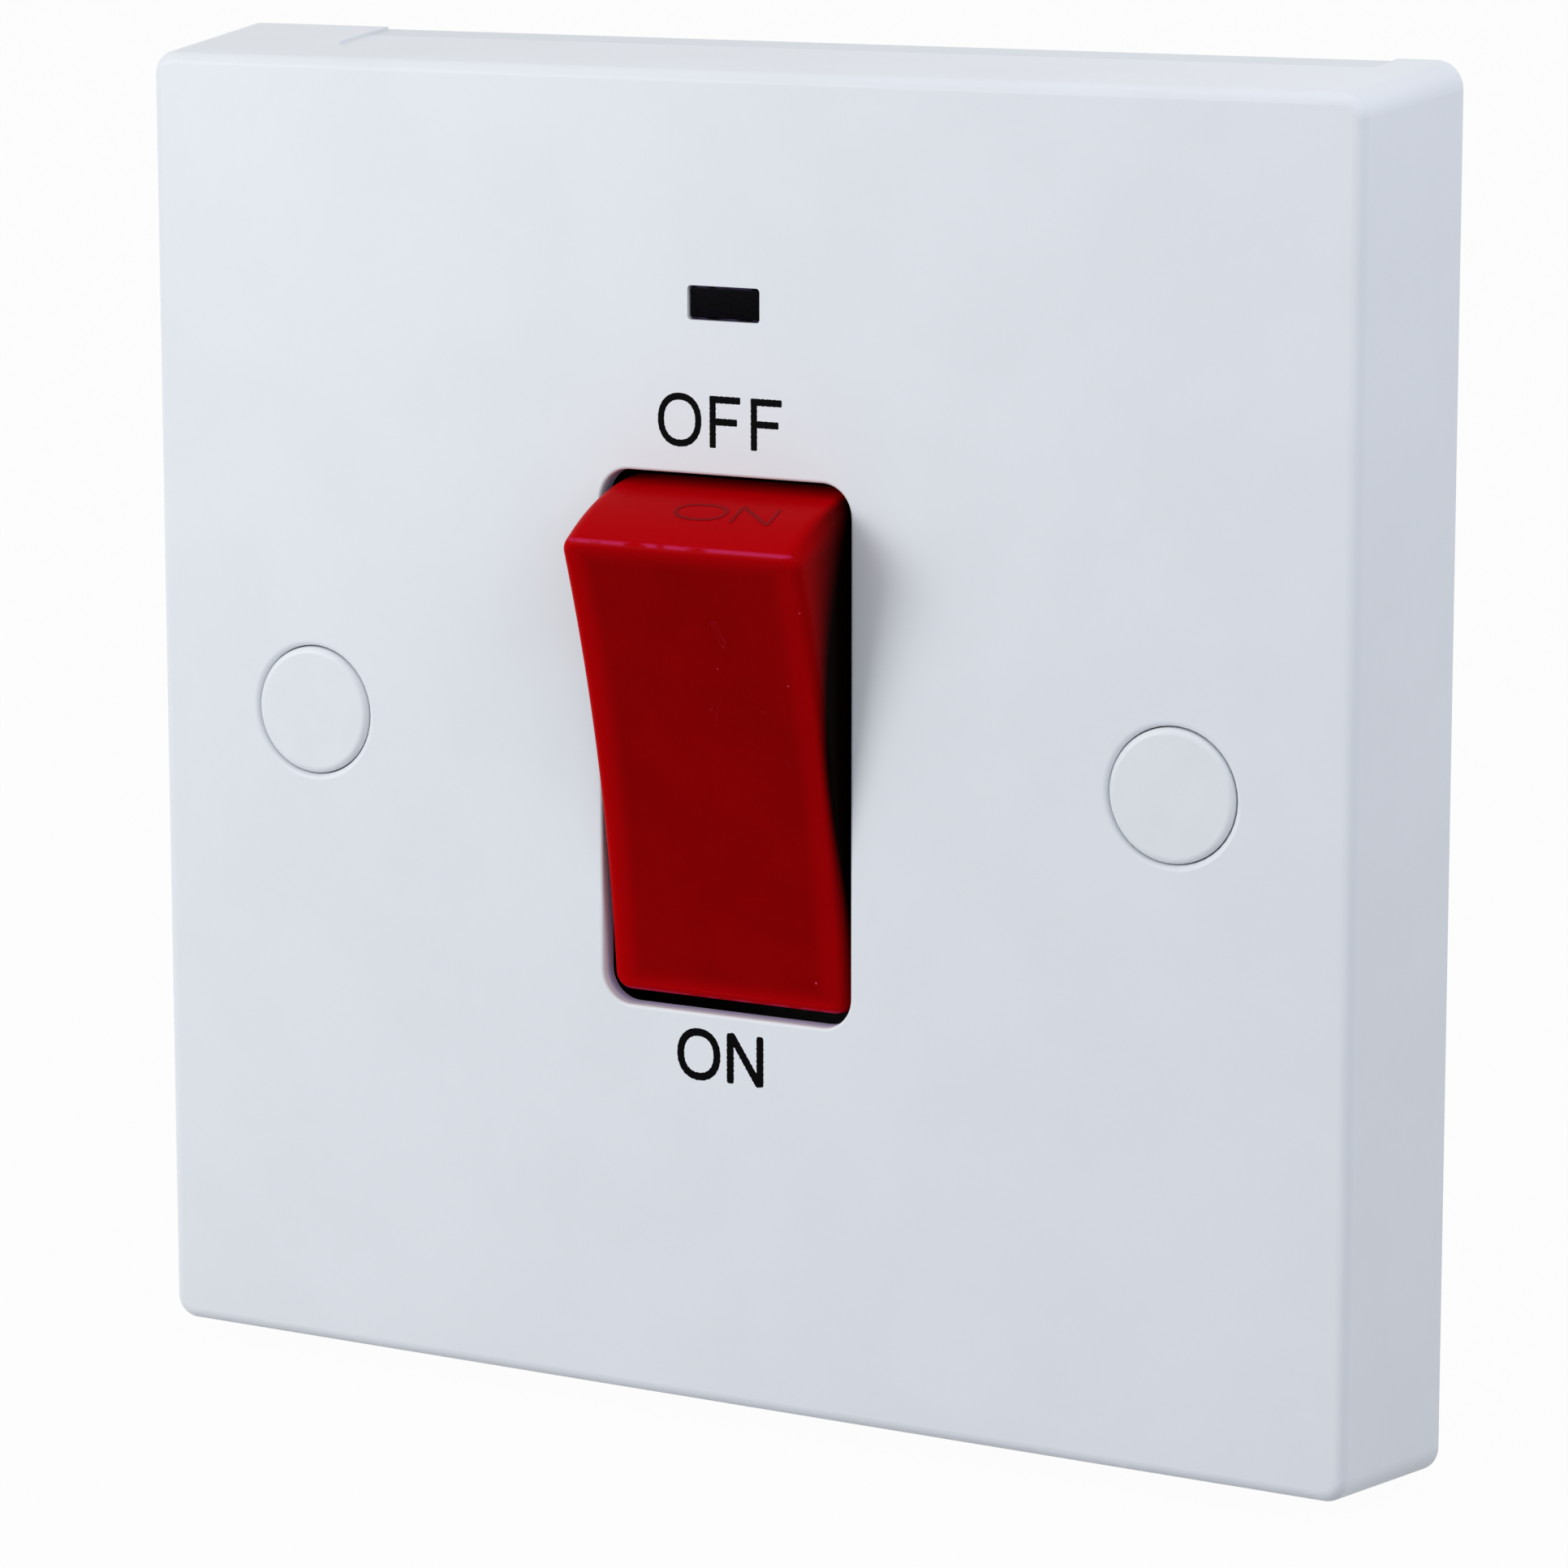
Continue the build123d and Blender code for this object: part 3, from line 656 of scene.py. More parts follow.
@dataclass(frozen=True)
class Dust:
    """Specks in the middles of a few Voronoi cells, and fine scratches where a noise is level.

    Args:
        cell_mm: Size of a cell.
        bare: Share of the cells without a speck.
        speck: A speck's radius as a share of its cell.
        drawn: Scale of the scratches' noise along X, Y and Z, per metre.
        turned: The noise's turn about X, Y and Z, in radians.
        thin: How far from level the noise is at a scratch's side.
        faint: A scratch's share of the dust's colour.
        patch_mm: Size of the patches with scratches.
        seldom: The level that a second noise passes in those patches.
    """

    cell_mm: float = 1.6
    bare: float = 0.86
    speck: float = 0.045
    drawn: Triple = (300, 300, 90)
    turned: Triple = (0.3, 0.2, 0.5)
    thin: float = 0.0012
    faint: float = 0.12
    patch_mm: float = 5.0
    seldom: float = 0.64

    def share(self, nodes: Nodes) -> Socket:
        """Finds the specks and the scratches.

        Args:
            nodes: The material's nodes.

        Returns:
            The share of the dust's colour.
        """
        add = nodes.add
        cells = add("TexVoronoi", {"Vector": nodes.place, "Scale": per_metre(self.cell_mm)})
        random = add("SeparateColor", [cells["Color"]])[0]
        chosen = add("Math", [random, self.bare], operation="GREATER_THAN")[0]
        centre = add("Math", [cells["Distance"], self.speck], operation="LESS_THAN")[0]
        specks = add("Math", [chosen, centre], **TIMES)[0]
        stretched = {"Vector": nodes.place, "Scale": self.drawn, "Rotation": self.turned}
        drawn = add("Mapping", stretched)[0]
        level = add("TexNoise", {"Vector": drawn, "Scale": 1.0})[0]
        off_level = add("Math", [add("Math", [level, 0.5], **LESS)[0]], **WITHOUT_SIGN)[0]
        line = add("Math", [off_level, self.thin], operation="LESS_THAN")[0]
        patch = add("TexNoise", {"Vector": nodes.place, "Scale": per_metre(self.patch_mm)})[0]
        shown = add("Math", [patch, self.seldom], operation="GREATER_THAN")[0]
        faint = add("Math", [line, self.faint], **TIMES)[0]
        scratches = add("Math", [faint, shown], **TIMES)[0]
        return add("Math", [specks, scratches], **HIGHEST)[0]


@dataclass(frozen=True)
class RockerMoulding(Moulding):
    """Red moulding of the rocker: painted glow and highlights at its edges, painted shade on its
    flanks, dust.

    The red darkens into a painted shade with the distance behind the front face. Places are
    measured from the rocker's axis: across along X, along the rocker's length, and in front of the
    axis.

    Args:
        edge: The red of the painted glow along the front face's edges and on the end faces.
        crest: The pink of the painted highlight along the front edges at both ends.
        painted_shade: The dark red of the painted shade at the foot of the flanks and round the
            right border.
        speck: Colour of dust and scratches.
        dust: Where they lie.
        side_painted_glow: How far from the sides the edges' red starts and is full, and its share
            there.
        end_painted_glow: How far past the front edges, along the rocker, it starts and is full.
        highlight_line: How far from the front edges the crest's line starts to fade and is gone.
        highlight_share: The line's share at the edge.
        highlight_depth: How far behind the crown the line is gone and is full.
        break_mm: Size of the noise that breaks it.
        break_edges: The noise's levels between which it comes and goes.
        flank_edge: How far from the sides the flank starts and is full.
        half_width: Half the rocker's width.
        reach: Distance from its axis to its round ends.
        crown: Distance from its axis to the front edges at both ends.
        middle: Distance from its axis to the middle of its hollow front face.
        lit_edge: The red of the painted highlight on the left border, which the key lamp reaches.
        glow_width: Width of that painted highlight.
        border: How far from its right edge the painted shade starts on the front face.
        fade: The way from there to the darkest painted shade, at the rocker's middle and below.
        fade_growth: How much longer that way is at 1 mm above the middle.
        low_growth: The share of that growth below the middle.
        axis: A point on the axis, in millimetres.
        tilt_deg: How far the rocker is tilted at rest.
    """

    # edge is the colour of a painted glow
    edge: str = "AF0006"
    # crest is the colour of a painted highlight
    crest: str = "C22A58"
    # deep is the colour of a painted shade
    painted_shade: str = "060000"
    speck: str = "C8405A"
    dust: Dust = Dust()
    side_painted_glow: Triple = (2.4, 1.3, 0.4)
    end_painted_glow: Pair = (-1.6, 0.1)
    highlight_line: Pair = (0.02, 0.16)
    highlight_share: float = 0.8
    highlight_depth: Pair = (0.5, 0.2)
    break_mm: float = 1.4
    break_edges: Pair = (0.38, 0.56)
    flank_edge: Pair = (1.0, 0.25)
    half_width: float = 8.35
    reach: float = 16.35
    crown: float = 6.57
    middle: float = 5.53
    # lit_edge is the colour of a painted highlight
    lit_edge: str = "C20004"
    glow_width: float = 2.3
    # Where the painted shade starts and how far it takes to reach its darkest
    border: float = 0.85
    fade: float = 0.9
    fade_growth: float = 0.031
    low_growth: float = 0.45
    axis: Triple = (0.0, 0.0, 0.0)
    tilt_deg: float = 12.5

    def along(self, nodes: Nodes, direction: Triple) -> Socket:
        """Measures from the axis along a direction.

        Args:
            nodes: The material's nodes.
            direction: The direction, of length 1.

        Returns:
            The distance in millimetres.
        """
        pivot = tuple(value * MM for value in self.axis)
        local = nodes.add("VectorMath", [nodes.place, pivot], operation="SUBTRACT")[0]
        scaled = tuple(value / MM for value in direction)
        return nodes.add("VectorMath", [local, scaled], operation="DOT_PRODUCT")["Value"]

    def tint(self, nodes: Nodes) -> Socket:
        """Mixes painted glow, face red and painted shade by place, then adds a painted highlight
        and dust.
        """
        add = nodes.add
        tilt = math.radians(self.tilt_deg)
        front = self.along(nodes, (0, -math.cos(tilt), -math.sin(tilt)))
        up = self.along(nodes, (0, -math.sin(tilt), math.cos(tilt)))
        across = self.along(nodes, (1, 0, 0))
        length = add("Math", [up], **WITHOUT_SIGN)[0]
        aside = add("Math", [across], **WITHOUT_SIGN)[0]
        half = self.half_width
        crown_length = math.sqrt(self.reach**2 - self.crown**2)
        # Painted glow: the end faces and the borders of the front face are brighter
        start, full, share = self.side_painted_glow
        side_painted_glow = add("MapRange", [aside, half - start, half - full, 0, share], **EASED)[0]
        ends = (crown_length + past for past in self.end_painted_glow)
        end_painted_glow = add("MapRange", [length, *ends], **EASED)[0]
        glow = add("Math", [side_painted_glow, end_painted_glow], **HIGHEST)[0]
        face = add("Mix", {0: glow, 6: super().tint(nodes), 7: self.edge}, **COLOURS)[2]
        # A painted highlight on the left border, which the key lamp reaches, as (1 - distance /
        # glow_width) squared
        near_left = add("MapRange", [across, -half, self.glow_width - half, 1, 0])[0]
        left_painted_highlight = add("Math", [near_left, near_left], **TIMES)[0]
        face = add("Mix", {0: left_painted_highlight, 6: face, 7: self.lit_edge}, **COLOURS)[2]
        # A painted highlight, a thin line broken by a noise, follows the front edge at both ends
        off_edge = add("Math", [length, crown_length], **LESS)[0]
        off_edge = add("Math", [off_edge], **WITHOUT_SIGN)[0]
        line = add("MapRange", [off_edge, *self.highlight_line, self.highlight_share, 0], **EASED)[0]
        depths = (self.crown - depth for depth in self.highlight_depth)
        on_front = add("MapRange", [front, *depths], **EASED)[0]
        breaks = {"Vector": nodes.place, "Scale": per_metre(self.break_mm), "Detail": 3.0}
        broken = add("MapRange", [add("TexNoise", breaks)[0], *self.break_edges], **EASED)[0]
        painted_highlight = add("Math", [add("Math", [line, on_front], **TIMES)[0], broken], **TIMES)[0]
        face = add("Mix", {0: painted_highlight, 6: face, 7: self.crest}, **COLOURS)[2]
        # The hollow front face is at middle + curve * length squared in front of the axis
        curve = (self.crown - self.middle) / crown_length**2
        squared = add("Math", [length, length], **TIMES)[0]
        face_front = add("Math", [squared, curve, self.middle], **TIMES_PLUS)[0]
        behind = add("Math", [add("Math", [face_front, front], **LESS)[0], 0], **HIGHEST)[0]
        # Painted shade round the far border and down the flanks: the red darkens along the way from
        # the border's start over a length that grows from fade with the square of the distance
        # along the rocker, more slowly towards its lower end
        flank = (half - distance for distance in self.flank_edge)
        on_flank = add("MapRange", [aside, *flank], **EASED)[0]
        border = add("Math", [across, half - self.border], **LESS)[0]
        border = add("Math", [border, 0], **HIGHEST)[0]
        way = add("Math", [behind, on_flank, border], **TIMES_PLUS)[0]
        upper = add("Math", [up, 0], operation="GREATER_THAN")[0]
        growths = self.fade_growth * self.low_growth, self.fade_growth
        growth = add("MapRange", [upper, 0, 1, *growths])[0]
        fade = add("Math", [squared, growth, self.fade], **TIMES_PLUS)[0]
        depth = add("Math", [way, fade], operation="DIVIDE")[0]
        shade = add("MapRange", [depth, 0, 1], **EASED)[0]
        face = add("Mix", {0: shade, 6: face, 7: self.painted_shade}, **COLOURS)[2]
        return add("Mix", {0: self.dust.share(nodes), 6: face, 7: self.speck}, **COLOURS)[2]


@dataclass(frozen=True)
class Metal(Finish):
    """A plain metal part: its colour, the streaks of its making and a soft or bright shine.

    Args:
        name: The material's name.
        colour: Its colour.
        tarnish: The duller colour in its patches.
        roughness: Its roughness.
        streak_mm: Size of the marks along X, Y and Z.
        mark_height: Height of the marks in millimetres.
        swing: How far the roughness goes up and down with the marks.
        patch_mm: Size of the tarnished patches.
        patch_edges: The noise's levels between which the colour turns.
    """

    name: str
    colour: str
    tarnish: str
    roughness: float
    streak_mm: Triple = (0.3, 0.3, 0.3)
    mark_height: float = 0.003
    swing: float = 0.07
    patch_mm: float = 4.0
    patch_edges: Pair = (0.4, 0.7)

    def marks(self, nodes: Nodes) -> Socket:
        """Stretches a noise to the streaks' size along each axis.

        Args:
            nodes: The material's nodes.

        Returns:
            The marks' height.
        """
        scale = tuple(per_metre(size) for size in self.streak_mm)
        scaled = nodes.add("Mapping", {"Vector": nodes.place, "Scale": scale})[0]
        return nodes.add("TexNoise", {"Vector": scaled, "Scale": 1.0, "Detail": 2.0})[0]

    def sockets(self, nodes: Nodes) -> dict[str, Any]:
        """Gives a metal with its marks in its roughness and its surface."""
        marks = self.marks(nodes)
        wide = {"Vector": nodes.place, "Scale": per_metre(self.patch_mm), "Detail": 4.0}
        noise = nodes.add("TexNoise", wide)[0]
        patches = nodes.add("MapRange", [noise, *self.patch_edges], **EASED)[0]
        colours = {0: patches, 6: self.colour, 7: self.tarnish}
        height = {"Strength": 0.5, "Distance": self.mark_height * MM, "Height": marks}
        low, high = self.roughness - self.swing, self.roughness + self.swing
        return {
            "Metallic": 1.0,
            "Base Color": nodes.add("Mix", colours, **COLOURS)[2],
            "Roughness": nodes.add("MapRange", [marks, 0, 1, low, high])[0],
            "Normal": nodes.add("Bump", height)[0],
        }


@dataclass(frozen=True)
class TurnedMetal(Metal):
    """Metal with turning rings round screws that stand at the same distance from two middles.

    Args:
        ring_x: How far the screws' axes are from X 0.
        mid_z: The height midway between the screws.
        ring_z: How far their axes are from that height.
    """

    ring_x: float = 0.0
    mid_z: float = 0.0
    ring_z: float = 0.0

    def marks(self, nodes: Nodes) -> Socket:
        """Reads a noise by the distance from the nearest screw's axis."""
        squares: Any = 0.0
        for axis, middle, ring in ((0, 0.0, self.ring_x), (2, self.mid_z, self.ring_z)):
            off = nodes.add("Math", [nodes.split[axis], middle], **LESS)[0]
            off = nodes.add("Math", [nodes.add("Math", [off], **WITHOUT_SIGN)[0], ring], **LESS)[0]
            squares = nodes.add("Math", [off, off, squares], **TIMES_PLUS)[0]
        distance = nodes.add("Math", [squares], operation="SQRT")[0]
        rings = nodes.add("Math", [distance, self.streak_mm[0]], operation="DIVIDE")[0]
        return nodes.add("TexNoise", {"W": rings, "Detail": 2.0}, noise_dimensions="1D")[0]


@dataclass(frozen=True)
class ClearPart(Finish):
    """Glass or a clear plastic.

    Args:
        name: The material's name.
        colour: Its tint.
        roughness: Its roughness.
        ior: Its index of refraction.
        clear: Share of light that goes through.
        wave_mm: Size of the waves in its surface.
        wave_height: Their height in millimetres.
    """

    name: str
    colour: str
    roughness: float
    ior: float
    clear: float
    wave_mm: float = 1.5
    wave_height: float = 0.01

    def sockets(self, nodes: Nodes) -> dict[str, Any]:
        """Gives a clear body with a slight waviness in its surface."""
        waves = nodes.add("TexNoise", {"Vector": nodes.place, "Scale": per_metre(self.wave_mm)})[0]
        greener = self.colour[:4] + self.colour[2:4]
        colours = {0: waves, 6: self.colour, 7: greener}
        height = {"Strength": 0.3, "Distance": self.wave_height * MM, "Height": waves}
        return {
            "IOR": self.ior,
            "Transmission Weight": self.clear,
            "Roughness": self.roughness,
            "Base Color": nodes.add("Mix", colours, **COLOURS)[2],
            "Normal": nodes.add("Bump", height)[0],
        }


@dataclass(frozen=True)
class BandedLacquer(Moulding):
    """Lacquer of a resistor with colour bands along Y.

    Args:
        start_y: Where its body starts.
        length: Length of its body.
        bands: Pairs of a share of the length and the colour of the band that starts there.
        band_width: A band's share of the length.
    """

    start_y: float = 0.0
    length: float = 6.0
    bands: tuple[tuple[float, str], ...] = ()
    band_width: float = 0.07

    def tint(self, nodes: Nodes) -> Socket:
        """Steps through the bands by the place along Y."""
        from_start = nodes.add("Math", [nodes.split[1], self.start_y], **LESS)[0]
        share = nodes.add("Math", [from_start, self.length], operation="DIVIDE")[0]
        outputs = nodes.add("ValToRGB", [share])
        ramp = outputs[0].node.color_ramp
        ramp.interpolation = "CONSTANT"
        ramp.elements[0].color = linear(self.colour)
        ramp.elements.remove(ramp.elements[1])
        for start, colour in self.bands:
            ramp.elements.new(start).color = linear(colour)
            ramp.elements.new(start + self.band_width).color = linear(self.colour)
        return outputs[0]


def dress(material: bpy.types.Material, *nodes: str) -> None:
    """Gives solids their material.

    Args:
        material: The finished material.
        nodes: The solids' names.
    """
    for node in nodes:
        frame["nodes"][node].material_slots[0].material = material
        log.info("%s: %s", node, material.name)


def settle(piece: bpy.types.Object, body: str, material: bpy.types.Material) -> None:
    """Gives a new piece its material and its body.

    Args:
        piece: The new piece.
        body: The body that it moves with.
        material: The finished material.
    """
    piece.data.materials.append(material)
    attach(piece, body)
    log.info("%s: %s, rides on %s", piece.name, material.name, body)


# Sub-assemblies


@dataclass
class FrontPlate:
    """The white plate with its caps, printed words and neon window."""

    print_height: float = 0.012
    off_lefts: tuple[float, ...] = (-4.61, -0.98, 1.89)
    off_base: float = 18.8
    on_lefts: tuple[float, ...] = (-3.43, 0.1)
    on_base: float = -20.95
    # Urea moulding from a polished tool: cool white, even, with a soft gloss
    plate: PlateMoulding = PlateMoulding(
        "urea_moulded_white", "EAEDF1", "E8EBEF",
        cloud_mm=9.0, roughness=0.38, specular=0.3, grain_height=0.0015,
    )
    # The caps come from another tool: the same white, very slightly warmer and smoother
    caps: Moulding = Moulding(
        "urea_moulded_cap", "EAEDF0", "E8EBEE",
        cloud_mm=3.0, roughness=0.33, specular=0.3, grain_height=0.001,
    )
    # Pad printing ink: near black, thin, with a dull shine and a slightly uneven edge of tone
    ink: Moulding = Moulding(
        "pad_print_ink", "010102", "030305",
        cloud_mm=0.4, roughness=0.5, specular=0.03, grain_mm=0.08,
    )

    def build(self) -> None:
        """Dresses the plate and caps and prints the words."""
        front_y = box_mm("faceplate")[0][1]
        dress(replace(self.plate, wall_front=front_y + 0.3).make(), "faceplate")
        dress(self.caps.make(), *(f"screw_cap_{side.name.lower()}" for side in Side))
        ground = LevelGround(front_y)
        ink = self.ink.make()
        off = Lettering(LetterPen(0.44, self.print_height, wave=0.02), 3.2, 3.06, 2.6)
        on = Lettering(LetterPen(0.5, self.print_height, corner=0.16, wave=0.025), 3.2, 3.08, 2.6)
        words = (
            off.word("print_off", Word.OFF, list(self.off_lefts), self.off_base, ground),
            on.word("print_on", Word.ON, list(self.on_lefts), self.on_base, ground),
        )
        for word in words:
            settle(word, ROOT_BODY, ink)


@dataclass
class Rocker:
    """The red rocker with its moulded word, plungers and springs."""

    reach: float = 16.35
    tilt_deg: float = 12.5
    word_lefts: tuple[float, ...] = (-1.9, 2.3)
    word_base: float = -3.95
    word_height: float = 1.9
    # Nylon rod: milky, waxy and a little translucent
    nylon: Moulding = Moulding(
        "nylon_turned", "E4E1D6", "DAD6C8", cloud_mm=2.0, roughness=0.42, depth_glow=0.15
    )
    # Drawn spring wire: grey steel with fine marks along the wire
    wire: Metal = Metal("spring_wire_drawn", "B8B9BC", "8E9094", 0.32, (0.1, 0.1, 0.1))

    def build(self) -> None:
        """Dresses the rocker's own solids and adds the word on its top end."""
        axis = hinge_mm("rocker_tilt")
        # Red thermoset with a bright tool finish: dark red, painted glow at its edges, painted
        # shade on its flanks, dust shows on it
        red = RockerMoulding(
            "red_moulded", "8E0002", "880002",
            cloud_mm=5.0, roughness=0.32, specular=0.012, grain_height=0.0008,
            axis=tuple(axis), tilt_deg=self.tilt_deg,
        )
        material = red.make()
        dress(material, "rocker")
        nylon, wire = self.nylon.make(), self.wire.make()
        for side in Side:
            dress(nylon, f"plunger_{side.name.lower()}")
            dress(wire, f"plunger_spring_{side.name.lower()}")
        # The raised word is the same red, darker than the painted glow of the end face round it
        word_red = Moulding(
            "red_moulded_word", "8C0008", "840006", roughness=0.4, specular=0.04
        ).make()
        ground = RockerEnd(axis, self.reach, self.tilt_deg)
        lettering = Lettering(LetterPen(0.28, 0.03, corner=0.08), self.word_height, 3.7, 2.8)
        word = lettering.word(
            "moulded_on", Word.ON, list(self.word_lefts), self.word_base, ground
        )
        settle(word, "rocker", word_red)


@dataclass
class SwitchWorks:
    """The base behind the plate with contacts, terminals and clamping screws."""

    letter_height: float = 2.4
    base_screw_r: float = 2.7
    # Black phenolic: dark brown-black, dull, with a fine mineral fleck
    phenolic: Moulding = Moulding(
        "phenolic_moulded_black", "17171A", "232327",
        cloud_mm=0.6, roughness=0.5, grain_mm=0.3, grain_height=0.006,
    )
    # Extruded and sawn brass: warm yellow, with fine lines along the bar
    brass: Metal = Metal("brass_extruded", "D4B062", "B08B45", 0.3, (0.12, 0.12, 2.5))
    # Rolled copper strip: salmon red with darker patches from handling
    copper: Metal = Metal("copper_strip_rolled", "D98A66", "A8603F", 0.33, (0.12, 0.5, 3.0))
    # Silver rivets: pale and bright, slightly yellowed
    silver: Metal = Metal("silver_rivet_headed", "E8E6DF", "CFC9B4", 0.22)

    def build(self) -> None:
        """Dresses the base, contacts and terminals and marks the poles."""
        phenolic = self.phenolic.make()
        dress(phenolic, "switch_base")
        sides = [side.name.lower() for side in Side]
        dress(self.copper.make(), *(f"moving_contact_{side}" for side in sides))
        tips = [f"{kind}_tip_{side}" for side in sides for kind in ("moving", "fixed")]
        dress(self.silver.make(), *tips)
        terminals = [f"{role}_terminal_{s}" for s in sides for role in ("feed", "load")]
        dress(self.brass.make(), *terminals, "earth_terminal")
        self.dress_screws(sides)
        self.mark_poles(phenolic)

    def dress_screws(self, sides: list[str]) -> None:
        """Gives each row of screws its turning rings.

        Args:
            sides: The names of the two sides.
        """
        rows = {
            "clamp": [f"{role}_screw_{side}" for side in sides for role in ("feed", "load")],
            "base": ["base_screws"],
            "earth": ["earth_screw"],
        }
        for row, nodes in rows.items():
            low = np.min([box_mm(node)[0] for node in nodes], 0)
            high = np.max([box_mm(node)[1] for node in nodes], 0)
            first_low, first_high = box_mm(nodes[0])
            radius = self.base_screw_r if row == "base" else (first_high - first_low)[2] / 2
            # Zinc plated steel: cool grey, with rings from turning about 0.15 mm apart
            finish = TurnedMetal(
                f"steel_plated_{row}_screw", "C9CCD1", "A4A8B0", 0.3, (0.15, 0.15, 0.15),
                ring_x=high[0] - radius,
                mid_z=(low[2] + high[2]) / 2,
                ring_z=(high[2] - low[2]) / 2 - radius,
            )
            dress(finish.make(), *nodes)

    def mark_poles(self, phenolic: bpy.types.Material) -> None:
        """Raises an L and an N between the clamping screws on the base's rear wall.

        Args:
            phenolic: The base's material.
        """
        rear_y = box_mm("switch_base")[1][1]
        ground = LevelGround(rear_y, from_behind=True)
        pen = LetterPen(0.45, 0.2, corner=0.12, sink=0.1)
        lettering = Lettering(pen, self.letter_height, 2.2, 1.9)
        for name, text, middle in (
            ("pole_mark_l", Word.LIVE, -7.7),
            ("pole_mark_n", Word.NEUTRAL, 7.7),
        ):
            mark = lettering.word(name, text, [middle - 0.9], -self.letter_height / 2, ground)
            settle(mark, ROOT_BODY, phenolic)


@dataclass
class FixingScrews:
    """The two long screws: their heads and necks as they are, and a cut thread on each shank."""

    pitch: float = 0.6
    crest: float = 1.75
    root: float = 1.45
    spread: float = 60.3
    tip_chamfer: float = 0.4

    def thread(self, x: float, start: float, end: float) -> np.ndarray:
        """Works out a threaded shank as a surface of turns.

        The radius is the root plus the thread's depth times a triangle wave of y / pitch less the
        turn's share, and it narrows to the root along the last bit at both ends.

        Args:
            x: The screw's place.
            start: Where the thread starts along Y.
            end: Where the shank ends.

        Returns:
            Rings by points by three, in millimetres.
        """
        rows = int((end - start) / self.pitch * 8) + 1
        y = np.linspace(start, end, rows)[:, None]
        turn = np.linspace(0, 2 * math.pi, 32, endpoint=False)[None]
        phase = (y / self.pitch - turn / (2 * math.pi)) % 1
        wave = 1 - np.abs(2 * phase - 1)
        run_out = np.clip(np.minimum((y - start), (end - y)) / self.tip_chamfer, 0, 1)
        radius = self.root + (self.crest - self.root) * wave * run_out
        across, up = radius * np.cos(turn), radius * np.sin(turn)
        return np.stack([x + across, np.broadcast_to(y, across.shape), up], -1)

    def heads(self, cut_y: float) -> bpy.types.Object:
        """Copies the screws' solids up to one depth, with their loose triangles merged.

        Args:
            cut_y: Triangles whose middles lie beyond this depth are left out.

        Returns:
            The linked copy.
        """
        mesh = frame["nodes"]["fixing_screws"].data
        points = np.empty(len(mesh.vertices) * 3, np.float32)
        mesh.vertices.foreach_get("co", points)
        corners = np.empty(len(mesh.loops), np.int32)
        mesh.loops.foreach_get("vertex_index", corners)
        merged, place = np.unique(
            np.round(points.reshape(-1, 3), 7), axis=0, return_inverse=True
        )
        triangles = place.reshape(-1)[corners].reshape(-1, 3)
        middles = merged[triangles][..., 1].mean(1)
        kept = triangles[middles < cut_y * MM]
        heads = bpy.data.meshes.new("fixing_screw_heads")
        heads.from_pydata(merged.tolist(), [], kept.tolist())
        heads.polygons.foreach_set("use_smooth", np.ones(len(heads.polygons), bool))
        heads.set_sharp_from_angle(angle=math.radians(35))
        piece = bpy.data.objects.new("fixing_screw_heads", heads)
        bpy.context.scene.collection.objects.link(piece)
        return piece

    def build(self) -> None:
        """Replaces the screws' plain solids with heads and threaded shanks."""
        low, high = box_mm("fixing_screws")
        neck_end = 0.5
        # Zinc plated steel as on the other screws
        steel = TurnedMetal(
            "steel_plated_fixing_screw", "CBCED3", "A8ACB3", 0.28, (0.15, 0.15, 0.15),
            ring_x=self.spread / 2,
        ).make()
        heads = self.heads(neck_end)
        shanks = closed_shells(
            "fixing_screw_threads",
            [self.thread(side.value * self.spread / 2, neck_end, high[1]) for side in Side],
        )
        for piece in (heads, shanks):
            settle(piece, ROOT_BODY, steel)
            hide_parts("fixing_screws")


@dataclass
class NeonCircuit:
    """The neon window, lamp, resistor and leads."""

    # Smoked polycarbonate window, unlit: almost black, with a painted highlight in a thin broken
    # line round its rim
    window: SmokedWindow = SmokedWindow(
        "polycarbonate_smoked", "010102", "030107", cloud_mm=1.0, roughness=0.1, specular=0.02
    )
    # Lamp glass: clear soda glass with a faint warm tint
    glass: ClearPart = ClearPart("soda_glass_blown", "F6E6D8", 0.03, 1.5, 0.92)
    # Sleeved leads: dull black flexible sleeve
    sleeve: Moulding = Moulding(
        "sleeve_extruded", "1B1B1D", "28282B", cloud_mm=1.0, roughness=0.55
    )

    def build(self) -> None:
        """Dresses the neon's solids."""
        dress(self.window.make(), "neon_lens")
        dress(self.glass.make(), "neon_lamp")
        dress(self.sleeve.make(), "neon_leads")
        low, high = box_mm("neon_resistor")
        # Lacquered film resistor: tan body with narrow bright bands
        lacquer = BandedLacquer(
            "lacquer_banded", "C9A875", "C9A875",
            roughness=0.25, start_y=low[1], length=high[1] - low[1],
            bands=((0.14, "8A5A2B"), (0.36, "1A1A1A"), (0.55, "D8C21F"), (0.8, "B8913A")),
        )
        dress(lacquer.make(), "neon_resistor")


@dataclass
class SoftLamp:
    """A square area lamp.

    Args:
        name: The lamp's name.
        place: Where it stands, in metres.
        size: Its side in metres.
        power: Its power in watts.
        colour: Its colour.
    """

    name: str
    place: Triple
    size: float
    power: float
    colour: str = "FFFFFF"

    def build(self, target: Vector) -> None:
        """Adds the lamp, turned to a target.

        Args:
            target: The point that it lights.
        """
        data = bpy.data.lights.new(self.name, "AREA")
        data.size = self.size
        data.energy = self.power
        data.color = linear(self.colour)[:3]
        lamp = bpy.data.objects.new(self.name, data)
        lamp.location = self.place
        lamp.rotation_euler = (target - lamp.location).to_track_quat("-Z", "Y").to_euler()
        lamp.visible_camera = False
        bpy.context.scene.collection.objects.link(lamp)


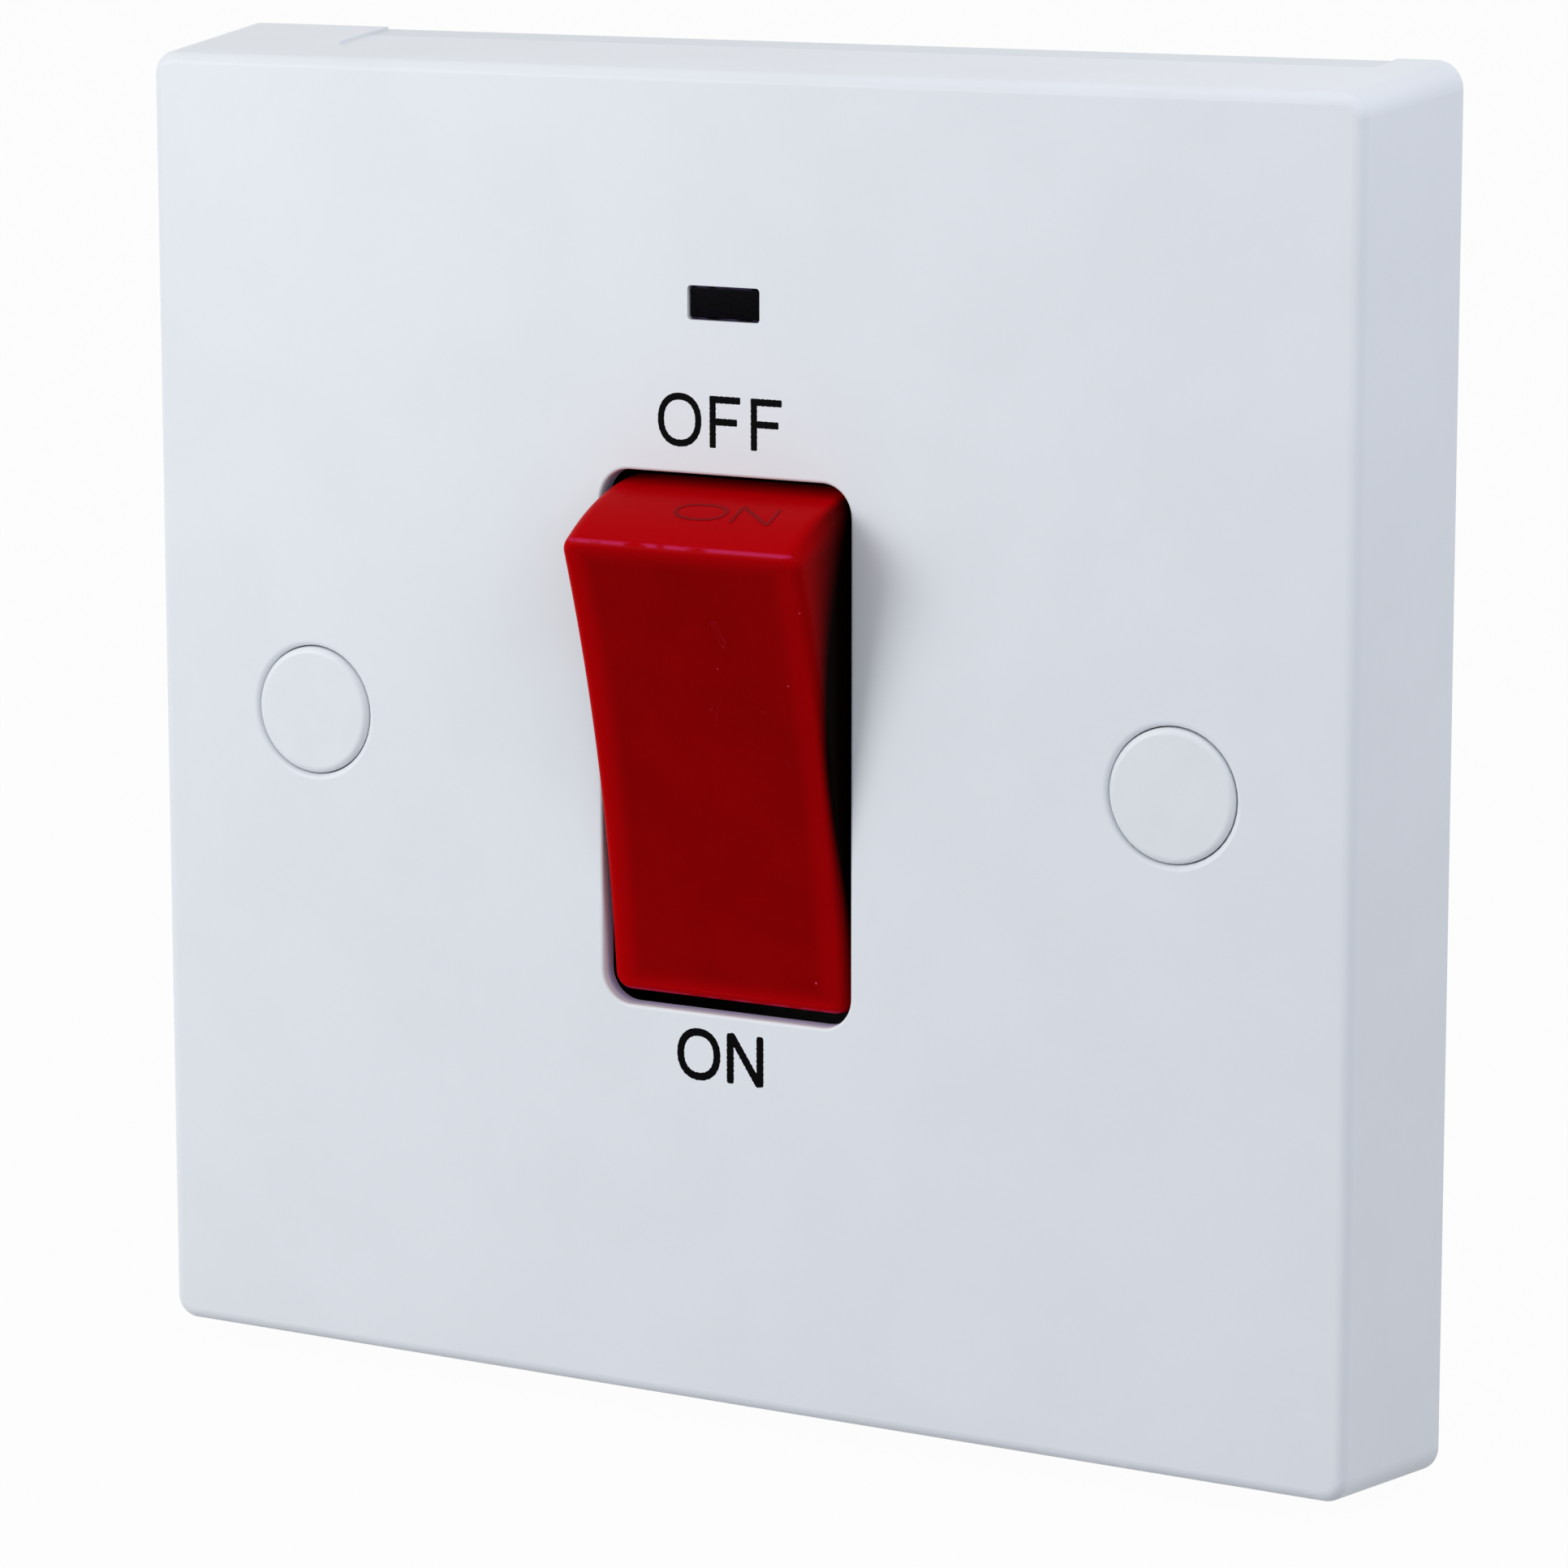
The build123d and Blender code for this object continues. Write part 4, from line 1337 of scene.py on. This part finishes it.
@dataclass
class Studio:
    """A pale floor, a white surround, soft lamps and the camera."""

    floor_z: float = -0.0432
    floor_half: float = 3.0
    floor_colour: str = "B2B5BA"
    floor_white: float = 0.97
    surround: str = "D0D2D5"
    surround_strength: float = 0.95
    lamps: list[SoftLamp] = field(
        default_factory=lambda: [
            SoftLamp("key_lamp", (-0.25, -0.31, 0.085), 0.2, 0.675),
            SoftLamp("right_fill", (0.2, -0.05, 0.16), 0.15, 0.17, "F0F4FF"),
        ]
    )
    # The camera stands right of the switch and above it, in millimetres and degrees
    camera_place: Triple = (163.7, -305.8, 63.8)
    camera_yaw: float = 28.5
    camera_pitch: float = -9.187
    camera_roll: float = -0.06
    focal_px: float = 6850.0
    middle_px: float = 740.0

    def build(self) -> None:
        """Sets floor, surround, lamps, view and camera."""
        self.lay_floor()
        self.set_surround()
        for lamp in self.lamps:
            lamp.build(Vector((0, 0, 0)))
        bpy.context.scene.view_settings.view_transform = "Standard"
        self.set_camera()

    def lay_floor(self) -> None:
        """Lays a pale floor well below the switch, white to the camera but for its shadows."""
        half = self.floor_half
        signs = ((-1, -1), (1, -1), (1, 1), (-1, 1))
        corners = [(x * half, y * half, self.floor_z) for x, y in signs]
        mesh = bpy.data.meshes.new("floor")
        mesh.from_pydata(corners, [], [[0, 1, 2, 3]])
        floor = bpy.data.objects.new("floor", mesh)
        bpy.context.scene.collection.objects.link(floor)
        # Matt white board: takes shadows softly, and is seen as plain white
        nodes = Nodes(bpy.data.materials.new("board_matt_white"))
        share = nodes.add("Math", [nodes.seen(), self.floor_white], **TIMES)[0]
        matt = nodes.add("BsdfDiffuse", [self.floor_colour])[0]
        white = nodes.add("Emission", ["FFFFFF", 1.0])[0]
        mesh.materials.append(nodes.done(nodes.add("MixShader", [share, matt, white])[0]))

    def set_surround(self) -> None:
        """Surrounds the switch with soft grey light that is seen as white."""
        nodes = Nodes(bpy.data.worlds.new("surround"))
        ambient = nodes.add("Background", [self.surround, self.surround_strength])[0]
        white = nodes.add("Background", ["FFFFFF", 1.0])[0]
        shown = nodes.add("MixShader", [nodes.seen(), ambient, white])[0]
        bpy.context.scene.world = nodes.done(shown, "OutputWorld")

    def set_camera(self) -> None:
        """Turns the camera by yaw, pitch and roll, and shifts it to the photograph's middle."""
        yaw, pitch, roll = (
            math.radians(a) for a in (self.camera_yaw, self.camera_pitch, self.camera_roll)
        )
        forward = Vector(
            (-math.sin(yaw) * math.cos(pitch), math.cos(yaw) * math.cos(pitch), math.sin(pitch))
        )
        level = Vector((math.cos(yaw), math.sin(yaw), 0))
        upright = level.cross(forward)
        right = math.cos(roll) * level + math.sin(roll) * upright
        up = -math.sin(roll) * level + math.cos(roll) * upright
        data = bpy.data.cameras.new("camera")
        data.sensor_width = 36.0
        data.lens = self.focal_px / PHOTO_PX * data.sensor_width
        data.shift_y = (self.middle_px - PHOTO_PX / 2) / PHOTO_PX
        data.clip_start = 0.01
        camera = bpy.data.objects.new("camera", data)
        turned = Matrix((right, up, -forward)).transposed().to_4x4()
        camera.matrix_world = Matrix.Translation(Vector(self.camera_place) * MM) @ turned
        bpy.context.scene.collection.objects.link(camera)
        bpy.context.scene.camera = camera


def main() -> None:
    """Builds each sub-assembly in order, then the studio."""
    logging.basicConfig(level=logging.INFO, format="%(message)s")
    for part in (FrontPlate(), Rocker(), SwitchWorks(), FixingScrews(), NeonCircuit(), Studio()):
        part.build()
        log.info("%s built", type(part).__name__)


if __name__ == "__main__":
    main()
